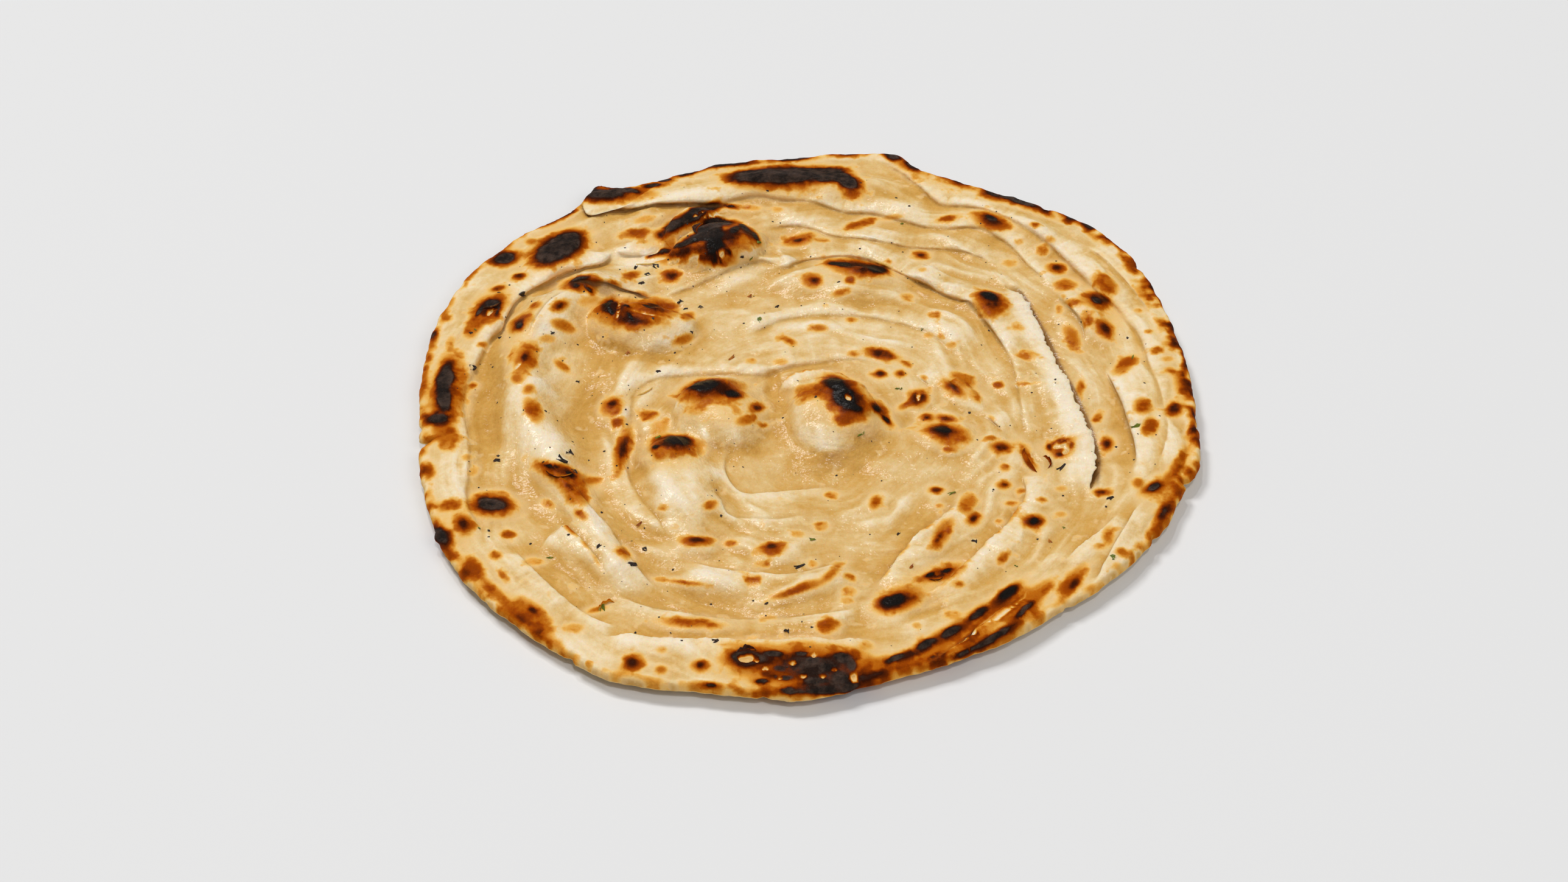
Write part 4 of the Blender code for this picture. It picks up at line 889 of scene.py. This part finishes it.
def bread_surface():
    """The finished bread as a tree that rays can be cast on."""
    mesh = bpy.data.objects["bread"].data
    corners = np.zeros(len(mesh.polygons) * 3, int)
    mesh.polygons.foreach_get("vertices", corners)
    return bvhtree.BVHTree.FromPolygons(vertex_places(mesh).tolist(), corners.reshape(-1, 3).tolist())


def lie_at(surface, x, seen_y, turn, sink):
    """The frame of a bit that lies on the bread where the slant through its seen place meets it."""
    slant = Vector((0, LEAN, -1)).normalized()
    start = Vector((x, seen_y - (CAST_HEIGHT - SEEN_LEVEL) * LEAN, CAST_HEIGHT)) * MM
    hit, normal, _, _ = surface.ray_cast(start, slant)
    if hit is None:
        return None
    up = (normal + Vector((0, 0, 0.6))).normalized()
    tilt = Vector((0, 0, 1)).rotation_difference(up).to_matrix().to_4x4()
    return Matrix.Translation(hit - up * sink * MM) @ tilt @ Matrix.Rotation(math.radians(turn), 4, "Z")


def pulled_about(offset, seed):
    """The new shape with its corners moved at random."""
    bpy.ops.object.mode_set(mode="EDIT")
    bpy.ops.mesh.select_all(action="SELECT")
    bpy.ops.transform.vertex_random(offset=offset * MM, uniform=1.0, seed=seed)
    bpy.ops.object.mode_set(mode="OBJECT")
    return bpy.context.object


def chip_shape(seed, jag, thick):
    """One broken chip, 1 mm across: a disc pulled about and given its thickness."""
    bpy.ops.object.select_all(action="DESELECT")
    bpy.ops.mesh.primitive_circle_add(vertices=7, radius=0.45 * MM, fill_type="TRIFAN")
    chip = pulled_about(jag, seed)
    wall = chip.modifiers.new("wall", "SOLIDIFY")
    wall.thickness = thick * MM
    bpy.ops.object.modifier_apply(modifier="wall")
    return chip


def crumb_shape(seed):
    """One speck, 1 mm across: a ball of few faces pulled about."""
    bpy.ops.object.select_all(action="DESELECT")
    bpy.ops.mesh.primitive_ico_sphere_add(subdivisions=1, radius=0.5 * MM)
    return pulled_about(0.2, seed)


def laid_copies(name, shapes, rows, height, sink, material):
    """Copies of the shapes laid on the bread, one for each row, joined to one piece."""
    surface = bread_surface()
    copies = []
    for i, spot in enumerate(Spot(*row) for row in rows):
        at = lie_at(surface, spot.x, spot.y, spot.turn, sink)
        if at is None:
            continue
        copy = bpy.data.objects.new(name, shapes[i % len(shapes)].data.copy())
        copy.data.transform(at @ Matrix.Diagonal((spot.length, spot.width, height * spot.width, 1)))
        bpy.context.scene.collection.objects.link(copy)
        copies.append(copy)
    for shape in shapes:
        bpy.data.objects.remove(shape)
    bpy.ops.object.select_all(action="DESELECT")
    for copy in copies:
        copy.select_set(True)
    bpy.context.view_layer.objects.active = copies[0]
    bpy.ops.object.join()
    piece = bpy.context.object
    piece.data.materials.clear()
    piece.data.materials.append(material)
    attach(piece, BODY)
    return piece


def scattered(count, seed, least, most):
    """Rows of specks strewn over the bread, thicker on its left and around the middle."""
    rng = np.random.default_rng(seed)
    rows = []
    while len(rows) < count:
        x, y = rng.uniform(-SPECK_SQUARE, SPECK_SQUARE, 2)
        if math.hypot(x, y) > SPECK_RADIUS:
            continue
        if rng.uniform() > 0.35 + 0.5 * (x < -20) + 0.15 * (abs(y) < 40):
            continue
        size = least + (most - least) * rng.uniform() ** 2.5
        rows.append((x, y, size * rng.uniform(0.9, 1.6), size, rng.uniform(0, 180)))
    return rows


def curled_skin(length, width, roll, toast, seed):
    """A torn skin that rises from the dough and curls over: places in mm, triangles and toast."""
    across, along = 7, 13
    rng = np.random.default_rng(seed)
    u = np.linspace(-1, 1, along)[:, None] * np.ones(across)
    v = np.ones(along)[:, None] * np.linspace(0, 1, across)
    ragged = 1 + 0.35 * waves(u[:, 0] * 3.1, u[:, 0] * 0 + rng.uniform(0, 99), seed)
    reach = width * np.sqrt(np.clip(1 - u[:, 0] ** 2, 0.02, 1)) * ragged
    radius = reach[:, None] / roll
    bow = 0.14 * length * (1 - u ** 2)
    walls = []
    for wall in (0.0, SKIN_THICKNESS):
        r = radius - wall * (0.4 + 0.6 * (1 - v))
        wall_places = [u * length / 2, bow + r * np.sin(roll * v), radius - r * np.cos(roll * v)]
        walls.append(np.stack(wall_places, axis=-1).reshape(-1, 3))
    shift = along * across
    index = np.arange(shift).reshape(along, across)
    quads = np.stack([index[:-1, :-1], index[1:, :-1], index[1:, 1:], index[:-1, 1:]], -1).reshape(-1, 4)
    rim = np.concatenate([index[:, 0], index[-1, 1:], index[-2::-1, -1], index[0, -2:0:-1]])
    after = np.roll(rim, -1)
    side = np.stack([after, rim, rim + shift, after + shift], axis=-1)
    quads = np.vstack([quads[:, ::-1], quads + shift, side[:, ::-1]])
    triangles = np.vstack([quads[:, [0, 1, 2]], quads[:, [0, 2, 3]]])
    heat = np.tile((toast * (0.55 + 0.55 * v)).reshape(-1), 2)
    return np.vstack(walls), triangles, np.clip(heat, 0, 1)


def build_skins():
    surface = bread_surface()
    places, triangles, toast = [], [], []
    for k, (x, y, length, width, turn, roll, heat) in enumerate(TORN_SKINS):
        at = lie_at(surface, x, y, turn, 0.45)
        if at is None:
            continue
        local, faces, warm = curled_skin(length, width, roll, heat, 300 + k)
        matrix = np.array(at)
        triangles.append(faces + sum(len(p) for p in places))
        places.append(local @ matrix[:3, :3].T + matrix[:3, 3] / MM)
        toast.append(warm)
    places, toast = np.vstack(places), np.concatenate(toast)
    looks = {"toast": toast, "tint_and_shade": 0.5 - toast, "crease_shade": 0 * toast, "rim": 0 * toast + 0.4,
             "out": from_middle(places[:, 0], places[:, 1]) * MM}
    return mesh_from("torn_skins", places, np.vstack(triangles), looks)


# ------------------------------------------------------------------ materials
def linear(hex_colour):
    """An sRGB hex colour as linear RGBA."""
    values = [int(hex_colour[i:i + 2], 16) / 255 for i in (1, 3, 5)]
    return [v / 12.92 if v <= 0.04045 else ((v + 0.055) / 1.055) ** 2.4 for v in values] + [1.0]


def new_material(name):
    """A material's node tree, its shader and the object's own coordinates."""
    material = bpy.data.materials.new(name)
    material.use_nodes = True
    tree = material.node_tree
    place = tree.nodes.new("ShaderNodeTexCoord").outputs["Object"]
    return material, tree, tree.nodes["Principled BSDF"], place


def feed(tree, node, inputs):
    """Gives a node's sockets their values, or links them to the outputs that feed them."""
    for key, value in inputs.items():
        if isinstance(value, bpy.types.NodeSocket):
            tree.links.new(value, node.inputs[key])
        else:
            node.inputs[key].default_value = value


def add(tree, kind, inputs, **settings):
    """Adds a node with its settings and inputs, and returns its first output."""
    node = tree.nodes.new(kind)
    for key, value in settings.items():
        setattr(node, key, value)
    feed(tree, node, inputs)
    return node.outputs[0]


def scaled(tree, source, factor, onto=0.0):
    """source times factor, added onto a value."""
    return add(tree, "ShaderNodeMath", {0: source, 1: factor, 2: onto}, operation="MULTIPLY_ADD")


def ramp(tree, source, stops):
    node = tree.nodes.new("ShaderNodeValToRGB")
    tree.links.new(source, node.inputs["Fac"])
    band = node.color_ramp
    band.elements[0].position, band.elements[1].position = stops[0][0], stops[-1][0]
    for place, _ in stops[1:-1]:
        band.elements.new(place)
    for element, (_, colour) in zip(band.elements, stops):
        element.color = linear(colour) if isinstance(colour, str) else (colour,) * 3 + (1,)
    return node.outputs["Color"]


def noise(tree, place, cell_mm, detail=2.0, rough=0.5):
    """Noise with a feature size in mm, 0 to 1."""
    return add(tree, "ShaderNodeTexNoise", {"Vector": place, "Scale": 1 / (cell_mm * MM),
                                            "Detail": detail, "Roughness": rough})


def mix(tree, amount, first, second):
    node = tree.nodes.new("ShaderNodeMix")
    node.data_type = "RGBA"
    feed(tree, node, {0: amount, 6: first, 7: second})
    return node.outputs[2]


def dough_material():
    """Wheat dough fried in oil: cream where it stands dry, amber and see-through where oil lies, with
    painted shade in its hollows and creases and painted light on its crests and fold lips.
    """
    material, tree, shader, place = new_material("griddled_wheat_dough")

    def read(name):
        node = tree.nodes.new("ShaderNodeAttribute")
        node.attribute_name = name
        return node.outputs["Fac"]

    def vector(operation, first, second):
        return add(tree, "ShaderNodeVectorMath", {0: first, 1: second}, operation=operation)

    def cells(mm, detail=2.0, rough=0.5, where=place):
        return noise(tree, where, mm, detail, rough)

    def times(source, factor, onto=0.0):
        return scaled(tree, source, factor, onto)

    def centred(source, amount, onto):
        return times(add(tree, "ShaderNodeMath", {0: source, 1: 0.5}, operation="SUBTRACT"), amount, onto)

    def steps(source, *stops):
        return ramp(tree, source, stops)

    toast, tint_and_shade, crease_shade, rim, out = (read(k) for k in ("toast", "tint_and_shade", "crease_shade", "rim", "out"))
    cloud, blotch = cells(14, 4, 0.55), cells(4.5, 3, 0.6)
    grain, fine = cells(1.6, 4, 0.65), cells(0.5, 3, 0.6)

    # the dough's stretch marks run round the coil
    aside = vector("SUBTRACT", place, (MIDDLE[0] * MM, MIDDLE[1] * MM, 0))
    flat = vector("MULTIPLY", aside, (1, 1, 0))
    way = add(tree, "ShaderNodeVectorMath", {0: flat}, operation="NORMALIZE")
    way = add(tree, "ShaderNodeVectorMath", {0: way, "Scale": 0.0045}, operation="SCALE")
    outwards = add(tree, "ShaderNodeCombineXYZ", {"Z": out})
    streak = cells(1.6, 4, 0.65, vector("ADD", way, outwards))

    # plain dough: pale to golden by tint, which also carries painted shade in hollows and painted light on
    # crests; soft clouds and stretch marks
    shade = times(tint_and_shade, 0.38, 0.43)
    for source, amount in ((cloud, 0.5), (blotch, 0.42), (grain, 0.3), (streak, 0.35), (fine, 0.15)):
        shade = centred(source, amount, shade)
    plain = steps(shade, (0.0, "#f8e8ce"), (0.25, "#f0d8ab"), (0.5, "#e3bf80"), (0.75, "#d7a759"),
                  (1.0, "#c49140"))

    # golden freckles, thickest where the dough is warm
    flecks = steps(times(toast, 0.35, cells(5.0, 2.5, 0.55)), (0.6, 0.0), (0.74, 1.0))
    warm = times(flecks, 0.16, toast)

    # browning, its edges broken up a little by the dough's own grain
    busy = steps(warm, (0.0, 0.0), (0.15, 0.6), (0.5, 1.0), (0.9, 0.7), (1.0, 0.3))
    coarse = add(tree, "ShaderNodeMath", {0: grain, 1: 0.5}, operation="SUBTRACT")
    heat = times(times(centred(fine, 0.6, coarse), busy), 0.12, warm)
    browned = steps(
        heat, (0.0, "#f5dfb0"), (0.1, "#f3d39c"), (0.2, "#edbe6c"), (0.3, "#e09d3c"), (0.42, "#c06c10"),
        (0.55, "#a54a00"), (0.68, "#7a2f00"), (0.82, "#401604"), (0.93, "#22120b"), (1.0, "#1a1614"))
    colour = mix(tree, steps(heat, (0.03, 0.0), (0.2, 1.0)), plain, browned)

    # ash on the char of the outer band, and shade in the creases
    ash = times(steps(cells(3.2, 3, 0.6), (0.4, 0.1), (0.64, 0.7)),
                steps(toast, (0.68, 0.0), (0.8, 1.0), (0.95, 0.7)))
    ash = times(ash, steps(times(out, 10.0), (0.84, 0.0), (0.94, 1.0)))
    colour = mix(tree, ash, colour, linear("#5e4a3f"))
    # painted shade of the creases: a dark brown mixed into the dough's colour
    colour = mix(tree, times(times(crease_shade, crease_shade), 0.8), colour, linear("#79512a"))

    # oil lies unevenly: shiny where the dough is golden, dry at the rim
    oil = times(steps(times(rim, -0.7, cloud), (0.0, 0.06), (0.45, 0.48)),
                steps(toast, (0.1, 1.0), (0.3, 0.12), (0.4, 0.05), (0.68, 0.04), (0.8, 0.16)))

    # skin: soft lumps, stretch marks, and pimples that grow where it is charred
    char = steps(toast, (0.45, 0.12), (0.75, 1.0))
    skin = times(cells(2.4), 1.2, times(streak, 0.4))
    skin = times(cells(0.9, 3, 0.65), times(char, 1.4, 0.5), skin)
    film = times(cells(0.8, 1), 0.2, cells(2.6))
    feed(tree, shader, {
        "Base Color": colour,
        "Roughness": times(rim, 0.3, 0.4),
        "IOR": 1.42,
        "Specular IOR Level": 0.04,
        "Coat Weight": oil,
        "Coat IOR": 1.42,
        "Coat Roughness": 0.19,
        "Subsurface Weight": 0.35,
        "Subsurface Radius": (0.002, 0.001, 0.0004),
        "Subsurface Scale": 1.0,
        "Normal": add(tree, "ShaderNodeBump", {"Strength": 0.9, "Distance": 0.0004, "Height": skin}),
        "Coat Normal": add(tree, "ShaderNodeBump", {"Strength": 1.0, "Distance": 0.00045, "Height": film}),
    })
    return material


def plain_material(name, colour, second, cell_mm, rough):
    """A dry broken bit: one colour going over to a second one in patches."""
    material, tree, shader, place = new_material(name)
    patches = ramp(tree, noise(tree, place, cell_mm, 2, 0.6), ((0.35, 0.0), (0.65, 1.0)))
    feed(tree, shader, {"Base Color": mix(tree, patches, (*colour, 1), linear(second)),
                        "Roughness": rough, "Specular IOR Level": 0.3})
    return material


# ------------------------------------------------------------------ settings
class ParathaSettings(bpy.types.PropertyGroup):
    """What a user would change about the bread's loose bits and its stage"""
    char_colour: bpy.props.FloatVectorProperty(
        name="Char", description="Colour of the burnt flakes and specks",
        subtype="COLOR", size=3, min=0, max=1, default=linear("#1d1815")[:3])
    crust_colour: bpy.props.FloatVectorProperty(
        name="Crust", description="Colour of the browned flakes",
        subtype="COLOR", size=3, min=0, max=1, default=linear("#8a3d10")[:3])
    herb_colour: bpy.props.FloatVectorProperty(
        name="Herbs", description="Colour of the chopped herbs",
        subtype="COLOR", size=3, min=0, max=1, default=linear("#77801f")[:3])
    speck_count: bpy.props.IntProperty(
        name="Specks", description="How many fine burnt specks lie on the bread",
        min=0, max=2000, default=300)
    speck_size: bpy.props.FloatProperty(
        name="Speck size", description="Width of the largest fine speck",
        subtype="DISTANCE", unit="LENGTH", min=0.0002, max=0.003, default=0.0009)
    floor_colour: bpy.props.FloatVectorProperty(
        name="Floor", description="Colour of the plain floor",
        subtype="COLOR", size=3, min=0, max=1, default=linear("#e6e6e6")[:3])
    view_slope: bpy.props.FloatProperty(
        name="View", description="How far the camera looks down from the level",
        subtype="ANGLE", unit="ROTATION", min=0.2, max=1.5, default=VIEW_SLOPE)


# ------------------------------------------------------------------ operators
class PARATHA_OT_bread(bpy.types.Operator):
    """Adds the folded and browned dough"""
    bl_idname = "paratha.bread"
    bl_label = "Bread"

    def execute(self, context):
        piece = build_bread()
        piece.data.materials.append(dough_material())
        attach(piece, BODY)
        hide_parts(NODE)
        return {"FINISHED"}


class PARATHA_OT_skins(bpy.types.Operator):
    """Adds the curled skins of burst blisters"""
    bl_idname = "paratha.skins"
    bl_label = "Torn skins"

    def execute(self, context):
        piece = build_skins()
        piece.data.materials.append(bpy.data.materials["griddled_wheat_dough"])
        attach(piece, BODY)
        return {"FINISHED"}


class PARATHA_OT_flakes(bpy.types.Operator):
    """Adds the burnt and browned flakes and the fine specks"""
    bl_idname = "paratha.flakes"
    bl_label = "Char and crust flakes"

    def execute(self, context):
        look = context.scene.paratha
        # charcoal of flour: matt, nearly black, a little warmer where it is thin
        char = plain_material("brittle_char", look.char_colour, "#3a2a20", 0.8, 0.6)
        laid_copies("char_flakes", [chip_shape(k, 0.3, 0.25) for k in range(1, 6)],
                    CHAR_FLAKES, 1.0, -0.15, char)
        specks = scattered(look.speck_count, 7, 0.3, look.speck_size / MM)
        laid_copies("char_specks", [crumb_shape(k) for k in range(1, 5)], specks, 0.7, 0.0, char)
        # crust: dry brown chips with golden patches
        crust = plain_material("browned_crust", look.crust_colour, "#c07a28", 1.5, 0.55)
        laid_copies("crust_flakes", [chip_shape(k, 0.3, 0.25) for k in (6, 7)],
                    CRUST_FLAKES, 1.0, -0.15, crust)
        return {"FINISHED"}


class PARATHA_OT_herbs(bpy.types.Operator):
    """Adds the bits of chopped herb"""
    bl_idname = "paratha.herbs"
    bl_label = "Herbs"

    def execute(self, context):
        # chopped coriander: limp bits of leaf, olive where the heat has met them
        herb = plain_material("chopped_coriander", context.scene.paratha.herb_colour, "#4f5c12", 1.0, 0.5)
        laid_copies("herb_bits", [chip_shape(k, 0.34, 0.14) for k in range(11, 16)],
                    HERB_BITS, 1.0, -0.1, herb)
        return {"FINISHED"}


class PARATHA_OT_stage(bpy.types.Operator):
    """Adds the pale floor, the soft light and the camera"""
    bl_idname = "paratha.stage"
    bl_label = "Stage"

    def execute(self, context):
        bpy.ops.object.select_all(action="DESELECT")
        bpy.ops.mesh.primitive_plane_add(size=6)
        floor = context.object
        floor.name = "floor"
        material = bpy.data.materials.new("matt_white_card")
        material.use_nodes = True
        shader = material.node_tree.nodes["Principled BSDF"]
        shader.inputs["Base Color"].default_value = (*context.scene.paratha.floor_colour, 1)
        shader.inputs["Roughness"].default_value = 0.9
        floor.data.materials.append(material)

        world = bpy.data.worlds.new("soft_room")
        context.scene.world = world
        world.use_nodes = True
        world.node_tree.nodes["Background"].inputs["Color"].default_value = linear("#f0efee")
        world.node_tree.nodes["Background"].inputs["Strength"].default_value = 0.24

        for name, place, size, power in (
            ("key", (-2.6, 2.4, 5.0), 1.5, 171.0),
            ("lamp", (-0.7, 2.0, 4.3), 0.3, 30.0),
            ("front", (0.3, -1.8, 4.1), 0.3, 38.0),
            ("fill", (2.2, -2.2, 3.6), 2.4, 42.0),
        ):
            light = bpy.data.lights.new(name, "AREA")
            light.size, light.energy = size, power
            lamp = bpy.data.objects.new(name, light)
            lamp.location = place
            lamp.rotation_euler = (-Vector(place)).to_track_quat("-Z", "Y").to_euler()
            context.scene.collection.objects.link(lamp)

        lens = bpy.data.cameras.new("camera")
        lens.lens, lens.sensor_width = 70, 36
        camera = bpy.data.objects.new("camera", lens)
        camera.location = (-0.00687, -0.67505, 0.64039)
        camera.rotation_euler = (math.pi / 2 - context.scene.paratha.view_slope, 0, 0)
        context.scene.collection.objects.link(camera)
        context.scene.camera = camera
        context.scene.view_settings.view_transform = "Standard"
        return {"FINISHED"}


class PARATHA_PT_panel(bpy.types.Panel):
    """Shows the paratha's settings and a button for each step that builds it"""
    bl_label = "Paratha"
    bl_idname = "PARATHA_PT_panel"
    bl_space_type = "VIEW_3D"
    bl_region_type = "UI"
    bl_category = "Paratha"

    def draw(self, context):
        for key in ParathaSettings.__annotations__:
            self.layout.prop(context.scene.paratha, key)
        for operator in STEPS:
            self.layout.operator(operator.bl_idname)


STEPS = (PARATHA_OT_bread, PARATHA_OT_skins, PARATHA_OT_flakes, PARATHA_OT_herbs, PARATHA_OT_stage)
CLASSES = (ParathaSettings,) + STEPS + (PARATHA_PT_panel,)


def register():
    for item in CLASSES:
        bpy.utils.register_class(item)
    bpy.types.Scene.paratha = bpy.props.PointerProperty(type=ParathaSettings)


def unregister():
    del bpy.types.Scene.paratha
    for item in reversed(CLASSES):
        bpy.utils.unregister_class(item)


def main():
    register()
    bpy.ops.paratha.bread()
    bpy.ops.paratha.skins()
    bpy.ops.paratha.flakes()
    bpy.ops.paratha.herbs()
    bpy.ops.paratha.stage()


if __name__ == "__main__":
    main()
